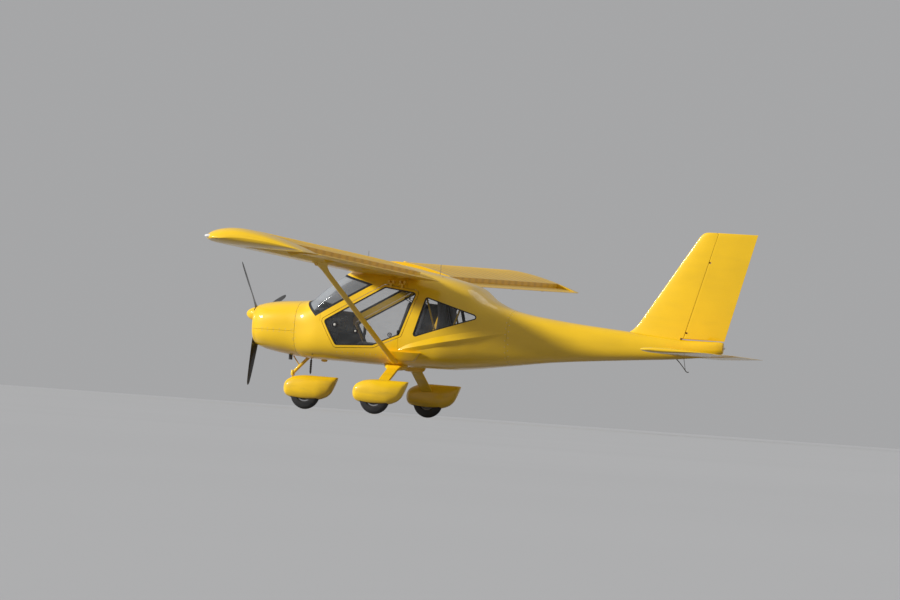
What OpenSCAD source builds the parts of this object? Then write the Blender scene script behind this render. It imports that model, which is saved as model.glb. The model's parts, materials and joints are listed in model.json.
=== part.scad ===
/* [Fuselage] */
// Station of the rudder's upper trailing edge, the rearmost point
overall_l = 6205; // [6180:5:6240]
// Station of the engine cowling's front face
cowl_front = 205; // [200:1:210]
// Station of the firewall
firewall = 800; // [790:1:810]
// Station where the windscreen starts on the centre line
screen_base = 880; // [870:1:890]
// Station where the roof starts behind the windscreen
roof_front = 1330; // [1320:1:1345]
// Station where the cabin shell ends and the tail cone starts
cabin_rear = 3370; // [3340:1:3400]
// Station of the tail cone's end
tail_end = 5880; // [5860:1:5890]
// Width of the cabin outside
cabin_w = 1170; // [1150:1:1190]
// Width of the cowling where it meets the firewall
cowl_w = 950; // [930:1:965]
// Height of the cabin's belly
belly_z = 573; // [566:1:580]
// Height of the roof's crest
roof_z = 1765; // [1755:1:1775]
// Thickness of the cabin and cowling shells
shell_t = 22; // [18:1:26]
// Thickness of the tail cone's skin
tail_skin_t = 14; // [10:1:18]
// Height of the seam between the cowling halves
cowl_split_z = 900; // [880:1:920]
// Thickness of the windows
glass_t = 5; // [4:0.5:6]

/* [Doors] */
// Margin of the door and its frame round the window
door_margin = 30; // [28:1:34]
// Gap round a closed door
door_gap = 6; // [5:0.5:7]
// Height of the door's hinge line
door_hinge_z = 1524; // [1522:1:1530]
// Radius of a door hinge's knuckles
knuckle_r = 9; // [8:0.5:10]
// Radius of the door hinge's pins
hinge_pin_r = 4; // [3:0.5:5]

/* [Wing] */
// Whole span, tip to tip
span = 9450; // [9300:10:9600]
// Chord without the flaperon
wing_chord = 1030; // [1010:1:1050]
// Station of the leading edge at the root
wing_le = 1295; // [1285:1:1305]
// Height of the leading edge at the root
wing_z = 1702; // [1695:1:1710]
// Gap between the cabin's widest side and the wing's root
wing_gap = 15; // [11:1:25]
// Thickness of the wing's section
wing_t = 192; // [185:1:200]
// Upward slope of the wing, in degrees
dihedral = 1.5; // [1:0.1:2]
// Nose up angle of the wing's section, in degrees
incidence = 5.3; // [4.8:0.1:5.8]
// Length of the rounded wing tip
tip_l = 275; // [250:1:300]
// Chord of the flaperon
flaperon_chord = 285; // [270:1:300]
// Radius of the flaperon's round nose
flaperon_nose_r = 20; // [18:0.5:22]
// Drop of the flaperon's hinge line below the wing's chord line
flaperon_drop = 12; // [6:1:18]

/* [Struts] */
// Chord of the wing strut's streamlined section
strut_chord = 78; // [70:1:84]
// Thickness of the wing strut's section
strut_t = 28; // [24:1:32]
// Station of the strut's foot
strut_foot_x = 2045; // [2035:1:2055]
// Height of the strut's foot
strut_foot_z = 684; // [678:1:690]
// Distance of the strut's top from the centre line
strut_top_y = 2240; // [2200:5:2280]
// Station of the strut's top
strut_top_x = 1710; // [1690:1:1730]

/* [Tail] */
// Height of the fin's top
fin_top_z = 2345; // [2325:1:2365]
// Thickness of the fin at its root
fin_t = 84; // [74:1:94]
// Half span of the stabilator
stab_half = 1225; // [1200:5:1250]
// Chord of the stabilator
stab_chord = 800; // [780:1:820]
// Station of the stabilator's leading edge
stab_le = 5232; // [5222:1:5242]
// Height of the stabilator
stab_z = 945; // [938:1:952]
// Thickness of the stabilator
stab_t = 70; // [60:1:80]
// Radius of the stabilator's torque tube
stab_tube_r = 22; // [18:1:26]

/* [Landing gear] */
// Radius of a tyre
tyre_r = 182; // [176:1:186]
// Width of a tyre
tyre_w = 96; // [88:1:100]
// Radius of a wheel's rim
rim_r = 92; // [84:1:100]
// Radius of an axle
axle_r = 10; // [8:0.5:12]
// Station of the nose wheel's axle
nose_axle_x = 810; // [800:1:820]
// Station of the main wheels' axles
main_axle_x = 2022; // [2012:1:2032]
// Distance between the main wheels' middles
track = 1800; // [1760:2:1840]
// Wall thickness of a wheel fairing
pant_t = 8; // [6:1:10]
// Width of a main leg's flat blade
leg_chord = 142; // [132:1:152]
// Thickness of a main leg's flat blade
leg_t = 26; // [22:1:30]
// Distance of the nose wheel's axle behind its steering axis
trail = 175; // [170:1:180]

/* [Propeller] */
// Height of the propeller's shaft
shaft_z = 1076; // [1068:1:1084]
// Radius of the propeller
prop_r = 860; // [840:1:880]
// Number of blades
blades = 3; // [2:1:4]
// Radius of the spinner's base
spinner_r = 92; // [88:1:100]
// Radius of the propeller's shaft
shaft_r = 24; // [20:1:28]

/* [Hidden] */

YELLOW = "#f2b705";
DARK = "#22242a";
GREY = "#8f9296";
GLASS = "#a9b4ba";
LEFT = -1;
RIGHT = 1;
// Clearance between a pin or shaft and its bore
run_gap = 0.3;
// Clearance between a part that moves and what it passes
move_gap = 7;
// Overlap that joins two solids of one piece
bite = 4;

// Moves stations, measured from the spinner's tip, to the middle of the length
module placed() translate([-overall_l / 2, 0, 0]) children();

// Copies a left hand shape to the given side
module on_side(side) mirror([0, side == RIGHT ? 1 : 0, 0]) children();

function unit(v) = v / norm(v);

// Rounded corner of a polygon at b, between its neighbours a and c
function corner(a, b, c, r, n) =
  let (u = unit(a - b), v = unit(c - b), half = acos(u * v) / 2,
       o = b + unit(u + v) * r / sin(half),
       p = unit(b + u * r / tan(half) - o), q = unit(b + v * r / tan(half) - o))
  [for (k = [0:n]) o + r * unit(p * (n - k) + q * k)];

// Polygon with each corner rounded
function rounded(pts, r, n = 4) =
  let (m = len(pts))
  [for (i = [0:m - 1]) each corner(pts[(i + m - 1) % m], pts[i], pts[(i + 1) % m], r, n)];

// Polygon, given anticlockwise, with each side moved outwards by d
function grown(pts, d) =
  let (m = len(pts))
  [for (i = [0:m - 1])
    let (u = unit(pts[i] - pts[(i + m - 1) % m]), v = unit(pts[(i + 1) % m] - pts[i]),
         nu = [u[1], -u[0]], nv = [v[1], -v[0]])
    pts[i] + (nu + nv) * d / (1 + nu * nv)];

// Solid through rings of points, each ring anticlockwise about the way the loft runs. The faces'
// diagonals lean the other way in the ring's second and third quarters, so both sides are alike
module loft(rings) {
  n = len(rings[0]);
  m = len(rings);
  polyhedron(
    points = [for (r = rings) each r],
    faces = concat(
      [[for (i = [0:n - 1]) i]],
      [for (k = [0:m - 2], i = [0:n - 1])
        let (j = (i + 1) % n, a = k * n + i, b = a + n, c = (k + 1) * n + j, d = c - n)
        each (4 * i >= n && 4 * i < 3 * n ? [[a, b, d], [b, c, d]] : [[a, b, c], [a, c, d]])],
      [[for (i = [n - 1:-1:0]) (m - 1) * n + i]]),
    convexity = 8);
}

// Prism across the fuselage from a side view outline of [station, height]
module side_prism(pts, y0, y1) {
  translate([0, y1, 0]) rotate([90, 0, 0]) linear_extrude(y1 - y0) polygon(pts);
}

// Fuselage sections. Columns: station, half width, bottom, top, squareness below, squareness above
HULL = [
  [cowl_front, 0.62 * cowl_w / 2, 735, 1178, 2.6, 2.6],
  [cowl_front + 40, 0.78 * cowl_w / 2, 702, 1202, 2.7, 2.7],
  [cowl_front + 245, 0.92 * cowl_w / 2, 650, 1245, 2.8, 2.8],
  [firewall, cowl_w / 2, belly_z + 32, 1272, 3, 3],
  [screen_base, cowl_w / 2 + 16, belly_z + 24, 1278, 3.2, 3.1],
  [1110, cabin_w / 2 - 34, belly_z + 18, 1446, 3.5, 3.4],
  [roof_front, cabin_w / 2 - 10, belly_z + 14, 1605, 3.8, 3.8],
  [roof_front + 200, cabin_w / 2 - 4, belly_z + 8, roof_z - 68, 4, 4],
  [1800, cabin_w / 2, belly_z + 3, roof_z, 4, 4],
  [2250, cabin_w / 2, belly_z, roof_z - 68, 4, 4],
  [2560, cabin_w / 2 - 20, belly_z + 3, roof_z - 127, 3.8, 3.8],
  [2880, cabin_w / 2 - 100, belly_z + 30, roof_z - 210, 3.4, 3.2],
  [3090, cabin_w / 2 - 175, belly_z + 58, roof_z - 350, 3.1, 2.8],
  [cabin_rear, cabin_w / 2 - 262, belly_z + 97, roof_z - 458, 2.8, 2.5]
];
TAIL = [
  [3850, 232, 737, 1233, 2.5, 2.3],
  [4800, 140, 826, 1150, 2.3, 2.2],
  [5300, 98, 868, 1113, 2.2, 2.2],
  [5450, 84, 884, 1098, 2.2, 2.3],
  [tail_end - 25, 42, 955, 1100, 2.3, 2.6],
  [tail_end, 32, 968, 1094, 2.3, 2.5]
];
BODY = concat(HULL, TAIL);
RING_N = 32;

// Section at station x, between the two given rows
function blend(a, b, x) = a + (b - a) * (x - a[0]) / (b[0] - a[0]);
function row_at(x, i = 0) =
  i >= len(BODY) - 2 || BODY[i + 1][0] >= x ? blend(BODY[i], BODY[i + 1], x) : row_at(x, i + 1);

// Half width of the fuselage at station x and height z
function side_y(x, z) =
  let (s = row_at(x), m = (s[2] + s[3]) / 2, t = abs(z - m) / (s[3] - m))
  s[1] * pow(max(0, 1 - pow(t, z > m ? s[5] : s[4])), 1 / (z > m ? s[5] : s[4]));

// Ring of one section, moved inwards by inset
function hull_ring(s, inset) =
  let (hw = s[1] - inset, m = (s[2] + s[3]) / 2, h = (s[3] - s[2]) / 2 - inset)
  [for (i = [0:RING_N - 1])
    let (a = 360 * (i + 0.5) / RING_N, e = 2 / (sin(a) > 0 ? s[5] : s[4]))
    [s[0], hw * sign(cos(a)) * pow(abs(cos(a)), e), m + h * sign(sin(a)) * pow(abs(sin(a)), e)]];

// Solid fuselage form between two stations
module hull_form(x0, x1, inset = 0) {
  inner = [for (s = BODY) if (s[0] > x0 + 1 && s[0] < x1 - 1) s];
  loft([for (s = concat([row_at(x0)], inner, [row_at(x1)])) hull_ring(s, inset)]);
}

// The same form, its ends moved out to stations of the table, so that pieces share its faces
function station_before(x) = max([for (s = BODY) if (s[0] <= x) s[0]]);
function station_after(x) = min([for (s = BODY) if (s[0] >= x) s[0]]);
module hull_span(x0, x1, inset = 0) hull_form(station_before(x0), station_after(x1), inset);
module hull_shell(x0, x1, outer, inner) {
  difference() {
    hull_span(x0, x1, outer);
    hull_form(station_before(x0) - 2, station_after(x1) + 2, inner);
  }
}
// Heights below the belly and above the roof, for cuts that take in the whole section
under_z = belly_z - 173;
over_z = roof_z + 135;

// Side view outlines, as [station, height]. The door's window, anticlockwise from its front lower corner
WINDOW = [[1350, 766], [1815, 790], [2150, 935], [2326, 1432], [1932, 1480], [1190, 1046]];
// The rear side window
QUARTER = [[2298, 906], [3050, 1180], [3000, 1226], [2440, 1396]];
DOORWAY = grown(WINDOW, door_margin);
PILLAR_W = 62;
// Direction along the windscreen pillar and the line of its upper edge
pillar_dir = unit(WINDOW[4] - WINDOW[5]);
pillar_up = [-pillar_dir[1], pillar_dir[0]];
pillar_low = DOORWAY[5] + pillar_up * PILLAR_W;
pillar_top = DOORWAY[4] + pillar_up * PILLAR_W - pillar_dir * 130;
SCREEN = [
  [screen_base - 12, 1285], pillar_low - pillar_dir * 45, pillar_top,
  [roof_front + 60, 1596], [roof_front + 10, 1645], [roof_front - 20, 1700], [screen_base - 12, 1700]
];
// Station of the seam between the tub and the pillars, and of the seams to the aft cabin
pillar_seam = pillar_low[0] + 26;
aft_seam_low = DOORWAY[2][0] - 40;
aft_seam_top = DOORWAY[2][0] + 20;
seam_z = DOORWAY[2][1] + 120;

// Wing section. Points on the camber line and their half thickness, as a share of the whole chord
full_chord = wing_chord + flaperon_chord - 20;
foil_camber = 0.042;
foil_crest = 0.36;
function camber(x) = x < foil_crest
  ? foil_camber * (2 * foil_crest * x - x * x) / pow(foil_crest, 2)
  : foil_camber * (1 - 2 * foil_crest + 2 * foil_crest * x - x * x) / pow(1 - foil_crest, 2);
function half_t(x) =
  5 * (0.2969 * sqrt(x) - 0.126 * x - 0.3516 * x * x + 0.2843 * pow(x, 3) - 0.1036 * pow(x, 4));
function foil_z(x, side, c, t) = c * camber(x) + side * t * half_t(x);

// Section from the leading edge to a share of the chord, anticlockwise
function foil(c, t, cut = 1, n = 11) = concat(
  [for (i = [n:-1:0]) let (x = cut * (1 - cos(90 * i / n))) [c * x, foil_z(x, 1, c, t) + edge_t(x)]],
  [for (i = [1:n]) let (x = cut * (1 - cos(90 * i / n))) [c * x, foil_z(x, -1, c, t) - edge_t(x)]]);
// Half thickness of a section's trailing edge
function edge_t(x) = x > 0.999 ? 1.5 : 0;
wing_cut = wing_chord / full_chord;

// Frame of a left wing: x aft along the chord, z up, the span towards -y
module wing_frame() {
  translate([wing_le, -root_y, wing_z]) rotate([-dihedral, 0, 0]) rotate([0, incidence, 0]) children();
}
module span_prism(pts, s0, s1) {
  translate([0, -s0, 0]) rotate([90, 0, 0]) linear_extrude(s1 - s0) polygon(pts);
}
// Slope length of the wing from its root to the rounded tip
root_y = cabin_w / 2 + wing_gap;
panel_l = (span / 2 - root_y) / cos(dihedral) - tip_l;
hinge_x = wing_chord + flaperon_nose_r + move_gap;
hinge_drop = full_chord * camber(wing_cut) - flaperon_drop - 20;
BRACKETS = [0.06, 0.36, 0.66, 0.95];
bracket_t = 6;
bracket_pin_r = 5;
slot_w = 2 * move_gap + bracket_t;
flaperon_inner = 22;
flaperon_l = panel_l - flaperon_inner - move_gap;

module wing(side) color(YELLOW) placed() on_side(side) wing_frame() {
  span_prism(foil(full_chord, wing_t, wing_cut), 0, panel_l);
  for (b = BRACKETS) translate([0, -flaperon_inner - b * flaperon_l, 0]) flaperon_bracket();
  translate([tie_x, -tie_s, foil_z(tie_x / full_chord, -1, full_chord, wing_t)]) tie_lug();
}

// Lug with an eye, for a rope or shackle
tie_r = 10;
tie_t = 8;
tie_depth = 24;
tie_x = 0.36 * full_chord;
tie_s = strut_top_y - root_y + 110;
module tie_lug() rotate([90, 0, 0]) difference() {
  translate([0, 0, -tie_t / 2]) linear_extrude(tie_t) union() {
    translate([0, -tie_depth]) circle(r = 2 * tie_r, $fn = 40);
    translate([-2 * tie_r, -tie_depth]) square([4 * tie_r, tie_depth + bite]);
  }
  translate([0, -tie_depth, 0]) cylinder(r = tie_r, h = 2 * tie_t, center = true, $fn = 40);
}

// Plate that carries the flaperon's pin, in the middle of a slot
module flaperon_bracket() {
  low = foil_z(0.66, -1, full_chord, wing_t);
  span_prism([[0.66 * full_chord, low + bite], [0.7 * full_chord, low - 26], [hinge_x + 6, hinge_drop - 12],
    [hinge_x + 12, hinge_drop], [hinge_x + 4, hinge_drop + 11], [wing_chord - 8, hinge_drop + 12],
    [wing_chord - 30, full_chord * camber(wing_cut)]], -bracket_t / 2, bracket_t / 2);
  translate([hinge_x, 0, hinge_drop]) rotate([90, 0, 0])
    cylinder(r = bracket_pin_r, h = slot_w + 2 * move_gap, center = true, $fn = 24);
}

// Flaperon section about its hinge
function flaperon_outline(c, r) = concat(
  [for (a = [96:16:264]) r * [cos(a), sin(a)]],
  [[c * 0.3, -r * 0.8], [c * 0.7, -r * 0.32], [c - r, -2],
    [c - r, 2], [c * 0.6, r * 0.62], [c * 0.25, r * 1.02]]);

module at_flaperon_hinge() wing_frame() translate([hinge_x, 0, hinge_drop]) children();
module flaperon(side) color(YELLOW) placed() on_side(side) at_flaperon_hinge() difference() {
  span_prism(flaperon_outline(flaperon_chord, flaperon_nose_r), flaperon_inner, flaperon_inner + flaperon_l);
  for (b = BRACKETS) translate([0, -flaperon_inner - b * flaperon_l, 0]) {
    translate([-40, -slot_w / 2, -40]) cube([40 + flaperon_nose_r + 8, slot_w, 80]);
    rotate([90, 0, 0]) cylinder(r = bracket_pin_r + run_gap, h = 60, center = true, $fn = 24);
  }
}

// Rounded tip. Columns: share of the tip's length, share of its thickness, leading edge set back
TIP = [[0, 1, 0], [0.3, 0.97, 10], [0.58, 0.85, 42], [0.8, 0.66, 92], [0.94, 0.42, 150], [1, 0.16, 215]];
module wing_tip(side) color(YELLOW) placed() on_side(side) wing_frame() translate([0, -panel_l, 0]) {
  loft([for (row = TIP)
    [for (p = foil(full_chord, wing_t * row[1], 1, 9))
      let (x = row[2] + p[0] * (full_chord - row[2] - 60 * row[0] * row[0]) / full_chord)
      [x, -tip_l * row[0], p[1]]]]);
}

// Streamlined section, chord along x
function stream(c, t, n = 7) = concat(
  [for (i = [n:-1:0]) let (x = 1 - cos(90 * i / n)) [c * (x - 0.4), t * half_t(x) + edge_t(x) / 2]],
  [for (i = [1:n]) let (x = 1 - cos(90 * i / n)) [c * (x - 0.4), -t * half_t(x) - edge_t(x) / 2]]);

// Straight bar of a given section from p to q, its section's x kept level with the stations
module bar(p, q) {
  w = unit(q - p);
  u = unit([1, 0, 0] - w[0] * w);
  v = cross(w, u);
  multmatrix([[u[0], v[0], w[0], p[0]], [u[1], v[1], w[1], p[1]], [u[2], v[2], w[2], p[2]], [0, 0, 0, 1]])
    linear_extrude(norm(q - p)) children();
}

// Strut on the left side
strut_foot_y = cabin_w / 2;
strut_top_z = wing_z - (strut_top_x - wing_le) * tan(incidence) + (strut_top_y - root_y) * tan(dihedral)
  + foil_z(0.3, -1, full_chord, wing_t);
strut_p = [strut_foot_x, -strut_foot_y, strut_foot_z];
strut_q = [strut_top_x, -strut_top_y, strut_top_z + 26];
strut_d = unit(strut_q - strut_p);
flare_l = 250;
strut_run_in = 150;

module strut(side) color(YELLOW) placed() on_side(side) difference() {
  union() {
    bar(strut_p - strut_d * strut_run_in, strut_q) polygon(stream(strut_chord, strut_t));
    strut_flare();
    strut_shoe();
  }
  wing_frame() span_prism(foil(full_chord, wing_t, wing_cut), 0, panel_l);
  hull_span(strut_foot_x - 500, strut_foot_x + 700);
  crease();
}

// Fan shaped fairing where the strut meets the wing. Columns: share of the flare, chord, thickness
FLARE = [[0, 0.99, 1], [0.45, 1.5, 1.15], [0.8, 2.7, 1.3], [1, 4.3, 1.5]];
module strut_flare() {
  start = strut_q - strut_d * flare_l;
  loft([for (s = FLARE)
    [for (p = stream(strut_chord * s[1], strut_t * s[2]))
      let (o = start + strut_d * flare_l * s[0]) [o[0] + p[0], o[1] + p[1], o[2]]]]);
}

// Shoe that carries the strut's foot on the fuselage's side. Its outer face slants in towards the belly.
// Columns, for the inner and the outer end of each corner: station, height, distance from the foot inwards
SHOE_INNER = [[-60, -76, 200], [290, -62, 200], [380, 54, 200], [-56, 58, 200]];
SHOE_OUTER = [[-50, -48, 86], [262, -44, 92], [372, 54, 8], [-46, 56, -10]];
module strut_shoe() loft([for (ring = [SHOE_INNER, SHOE_OUTER])
  [for (c = ring) [strut_foot_x + c[0], c[2] - strut_foot_y, strut_foot_z + c[1]]]]);

module cowl_shell() {
  difference() {
    hull_form(cowl_front, firewall - 2);
    hull_form(cowl_front + shell_t, firewall + 2, shell_t);
    translate([cowl_front - 5, 0, shaft_z]) rotate([0, 90, 0]) cylinder(r = shaft_r + 26, h = 50, $fn = 32);
  }
}
module cowl_upper() color(YELLOW) placed() intersection() {
  cowl_shell();
  side_prism([[cowl_front - 10, cowl_split_z], [firewall, cowl_split_z],
    [firewall, over_z], [cowl_front - 10, over_z]], -cowl_w, cowl_w);
}
module cowl_lower() color(YELLOW) placed() difference() {
  intersection() {
    cowl_shell();
    side_prism([[cowl_front - 10, under_z], [firewall, under_z],
      [firewall, cowl_split_z], [cowl_front - 10, cowl_split_z]], -cowl_w, cowl_w);
  }
  side_prism(rounded([[cowl_front - 30, inlet_low], [cowl_front + 90, inlet_low],
    [cowl_front + 90, inlet_low + inlet_h], [cowl_front - 30, inlet_low + inlet_h]], 20),
    -inlet_w / 2, inlet_w / 2);
  translate([exhaust_x, exhaust_y, under_z]) cylinder(r = exhaust_r + 12, h = 350, $fn = 32);
}

// Air inlet in the cowling's front
inlet_low = 750;
inlet_h = 70;
inlet_w = 260;
exhaust_x = 640;
exhaust_y = -120;
exhaust_r = 22;
engine_x = cowl_front + 130;
engine_l = 360;
engine_w = 420;
engine_h = 262;
module exhaust() color(DARK) placed() difference() {
  translate([exhaust_x, exhaust_y, belly_z - 6])
    cylinder(r = exhaust_r, h = engine_base - belly_z + 6, $fn = 32);
  translate([exhaust_x, exhaust_y, belly_z - 10]) cylinder(r = exhaust_r - 2.5, h = 90, $fn = 32);
}
engine_base = shaft_z - 190;

// Plain block with its mounts to the firewall and the propeller's shaft
module engine_block() color(DARK) placed() {
  translate([engine_x, -engine_w / 2, engine_base]) cube([engine_l, engine_w, engine_h]);
  for (y = [-150, 150], z = [engine_base + 40, engine_base + engine_h - 40])
    translate([engine_x + engine_l - bite, y, z]) rotate([0, 90, 0])
      cylinder(r = 14, h = firewall - engine_x - engine_l + bite, $fn = 24);
  translate([shaft_end, 0, shaft_z]) rotate([0, 90, 0])
    cylinder(r = shaft_r, h = engine_x - shaft_end + bite, $fn = 32);
}
firewall_t = 8;
module firewall() color(GREY) placed() intersection() {
  hull_form(firewall, screen_base, shell_t + run_gap);
  translate([firewall, -cowl_w, under_z]) cube([firewall_t, 2 * cowl_w, over_z - under_z]);
}

module doorway_cut(y0, y1) side_prism(rounded(DOORWAY, 46), y0, y1);
module screen_cut() side_prism(SCREEN, -cabin_w, cabin_w);
module quarter_cut() side_prism(rounded(QUARTER, 30, 3), -cabin_w, cabin_w);

module cabin_tub() color(YELLOW) placed() difference() {
  intersection() {
    hull_shell(firewall, aft_seam_low + 60, 0, shell_t);
    side_prism([[firewall, under_z], [aft_seam_low, under_z], [aft_seam_low, seam_z], [pillar_seam, seam_z],
      [pillar_seam, over_z], [firewall, over_z]], -cabin_w, cabin_w);
  }
  doorway_cut(-cabin_w, cabin_w);
  screen_cut();
}

module roof_frame() color(YELLOW) placed() {
  difference() {
    intersection() {
      hull_shell(pillar_seam - 60, aft_seam_top + 80, 0, shell_t);
      side_prism([[pillar_seam, seam_z], [aft_seam_top, seam_z], [aft_seam_top, over_z],
        [pillar_seam, over_z]], -cabin_w, cabin_w);
    }
    doorway_cut(-cabin_w, cabin_w);
    screen_cut();
  }
  for (side = [LEFT, RIGHT]) on_side(side) {
    root_rib();
    door_knuckles([0, 2]);
  }
}

// Solid root rib that carries the wing, from the roof's side to the wing's root
root_rib_in = 81;
root_rib_l = wing_gap + root_rib_in;
module root_rib() difference() {
  intersection() {
    wing_frame() span_prism(foil(full_chord, wing_t, wing_cut), -root_rib_l, 0);
    translate([roof_front - 100, -root_y - 50, roof_z - 265]) cube([wing_chord + 200, root_rib_l + 50, 500]);
  }
  intersection() {
    hull_span(aft_seam_top, cabin_rear);
    translate([aft_seam_top, -cabin_w, 0]) cube([cabin_rear, 2 * cabin_w, over_z]);
  }
}

// Raised crease on the left side, which rises aft from the shoe.
// Columns: station, how far it reaches above and below its edge, how far the edge stands out
CREASE = [[aft_seam_low + 1, 50, 66, 2], [2300, 78, 70, 22], [2700, 104, 64, 30], [3050, 106, 58, 26],
  [cabin_rear - 20, 90, 46, 2]];
// The edge's height above the belly at its front, that station, and its slope
crease_rise = 172;
crease_front = 2070;
crease_slope = 0.2255;
function crease_z(x) = belly_z + crease_rise + (x - crease_front) * crease_slope;
module crease() loft([for (s = CREASE) let (z = crease_z(s[0])) concat(
  [[s[0], -side_y(s[0], z) - s[3], z]],
  [for (i = [0:4]) let (h = z - s[2] + (s[1] + s[2]) * i / 4) [s[0], shell_t / 2 - side_y(s[0], h), h]])]);

module aft_cabin() color(YELLOW) placed() difference() {
  union() {
    intersection() {
      hull_shell(aft_seam_low - 60, cabin_rear, 0, shell_t);
      side_prism([[aft_seam_low, under_z], [cabin_rear + 10, under_z], [cabin_rear + 10, over_z],
        [aft_seam_top, over_z], [aft_seam_top, seam_z], [aft_seam_low, seam_z]], -cabin_w, cabin_w);
    }
    for (side = [LEFT, RIGHT]) on_side(side) crease();
  }
  doorway_cut(-cabin_w, cabin_w);
  quarter_cut();
}

tail_hollow_end = 5180;
tail_tie_x = 5120;
module tail_cone() color(YELLOW) placed() {
  tail_shell();
  translate([tail_tie_x, 0, row_at(tail_tie_x)[2] + 1]) tie_lug();
}
module tail_shell() difference() {
  hull_form(cabin_rear, tail_end);
  hull_form(cabin_rear + tail_skin_t, tail_hollow_end, tail_skin_t);
  translate([stab_pivot, 0, stab_z]) rotate([90, 0, 0])
    cylinder(r = stab_tube_r + run_gap, h = 3 * stab_root_y, center = true, $fn = 48);
}

glass_inset = 8;
// Stations that the doors' and the rear windows' walls reach over
DOOR_SPAN = [1100, 2420];
QUARTER_SPAN = [2200, 3150];
module glass_shell(x0, x1) hull_shell(x0, x1, glass_inset, glass_inset + glass_t);
module windscreen() color(GLASS, 0.4) placed() intersection() {
  glass_shell(screen_base - 70, 1900);
  screen_cut();
}
module rear_window(side) color(GLASS, 0.4) placed() intersection() {
  glass_shell(QUARTER_SPAN[0], QUARTER_SPAN[1]);
  on_side(side) side_prism(rounded(grown(QUARTER, -run_gap), 30, 3), -cabin_w, 0);
}
module door_window(side) color(GLASS, 0.4) placed() intersection() {
  glass_shell(DOOR_SPAN[0], DOOR_SPAN[1]);
  on_side(side) side_prism(rounded(grown(WINDOW, -run_gap), 34), -cabin_w, 0);
}

// Doors. Hinge pieces: start of each knuckle's group, and the lengths
door_hinge_y = side_y(1900, door_hinge_z) + knuckle_r + 3;
KNUCKLE_X = [1960, 2100];
knuckle_l = 26;
knuckle_gap = 0.6;
// Knuckles 0 and 2 are the frame's, with the pin, and knuckle 1 is the door's
module door_knuckles(which) {
  for (x = KNUCKLE_X, k = which) translate([x + k * (knuckle_l + knuckle_gap), -door_hinge_y, door_hinge_z]) {
    rotate([0, 90, 0]) cylinder(r = knuckle_r, h = knuckle_l, $fn = 32);
    translate([0, -3, 0]) cube([knuckle_l, 44, 34]);
  }
  for (x = KNUCKLE_X) translate([x + 1, -door_hinge_y, door_hinge_z]) rotate([0, 90, 0])
    cylinder(r = hinge_pin_r, h = 3 * knuckle_l + 2 * knuckle_gap - 2, $fn = 24);
}
module door(side) color(YELLOW) placed() on_side(side) difference() {
  union() {
    difference() {
      intersection() {
        hull_shell(DOOR_SPAN[0], DOOR_SPAN[1], 0, shell_t);
        side_prism(rounded(grown(DOORWAY, -door_gap), 40), -cabin_w, -100);
      }
      side_prism(rounded(WINDOW, 34), -cabin_w, 0);
    }
    for (x = KNUCKLE_X) translate([x + knuckle_l + knuckle_gap, -door_hinge_y, door_hinge_z]) {
      rotate([0, 90, 0]) cylinder(r = knuckle_r, h = knuckle_l, $fn = 32);
      translate([0, -knuckle_r, -50]) cube([knuckle_l, 9, 50]);
      translate([0, -knuckle_r, -50]) cube([knuckle_l, 20, 22]);
    }
  }
  for (x = KNUCKLE_X) translate([x - 5, -door_hinge_y, door_hinge_z]) rotate([0, 90, 0])
    cylinder(r = hinge_pin_r + run_gap, h = 3 * knuckle_l + 10, $fn = 24);
}

panel_x = 1120;
panel_t = 24;
panel_h = 232;
module instrument_panel() color(GREY) placed() intersection() {
  hull_span(panel_x, panel_x + panel_t, shell_t + run_gap);
  translate([panel_x, -cabin_w, cowl_split_z + 30]) cube([panel_t, 2 * cabin_w, panel_h]);
}

// Seat shape in side view, on a pedestal that stands on the floor
seat_gap = 100;
seat_w = cabin_w / 2 - 105 - seat_gap / 2;
seat_y = (seat_w + seat_gap) / 2;
seat_base_z = 716;
SEAT = [[1575, seat_base_z], [2070, seat_base_z], [2262, 1330], [2180, 1350],
  [2016, 800], [1590, 834], [1556, 790]];
module seat(side) color(DARK) placed() on_side(side)
  side_prism(SEAT, -seat_y - seat_w / 2, -seat_y + seat_w / 2);
module seat_base() color(GREY) placed() intersection() {
  union() for (side = [LEFT, RIGHT]) on_side(side)
    side_prism([[1640, under_z], [1990, under_z],
      [2010, seat_base_z - run_gap], [1620, seat_base_z - run_gap]], -seat_y - 60, -seat_y + 60);
  hull_span(1600, 2020, shell_t + run_gap);
}
stick_x = 1500;
stick_r = 11;
stick_top = 1030;
module control_stick() color(DARK) placed() intersection() {
  union() {
    translate([stick_x, 0, belly_z]) cylinder(r = stick_r, h = stick_top - belly_z - 60, $fn = 24);
    translate([stick_x, 0, stick_top - 110]) cylinder(r = 1.6 * stick_r, h = 110, $fn = 24);
  }
  hull_span(stick_x - 60, stick_x + 60, shell_t + run_gap);
}

// Tail. Height, leading edge, hinge line and trailing edge in side view
fin_root_z = 1085;
// How far the hinge line's and the leading edge's feet lie ahead of the rudder's tip
hinge_foot = 791;
fin_foot = 1455;
hinge_base = overall_l - hinge_foot;
fin_base = overall_l - fin_foot;
// How far each line goes aft for each step up
hinge_slope = 0.2659;
le_slope = 0.636;
te_slope = 0.2536;
function hinge_at(z) = hinge_base + (z - fin_root_z) * hinge_slope;
function fin_le(z) = fin_base + (z - fin_root_z) * le_slope;
function rudder_te(z) = overall_l + (z - fin_top_z) * te_slope;
hinge_lean = atan(hinge_slope);
rudder_gap = move_gap;
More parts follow.
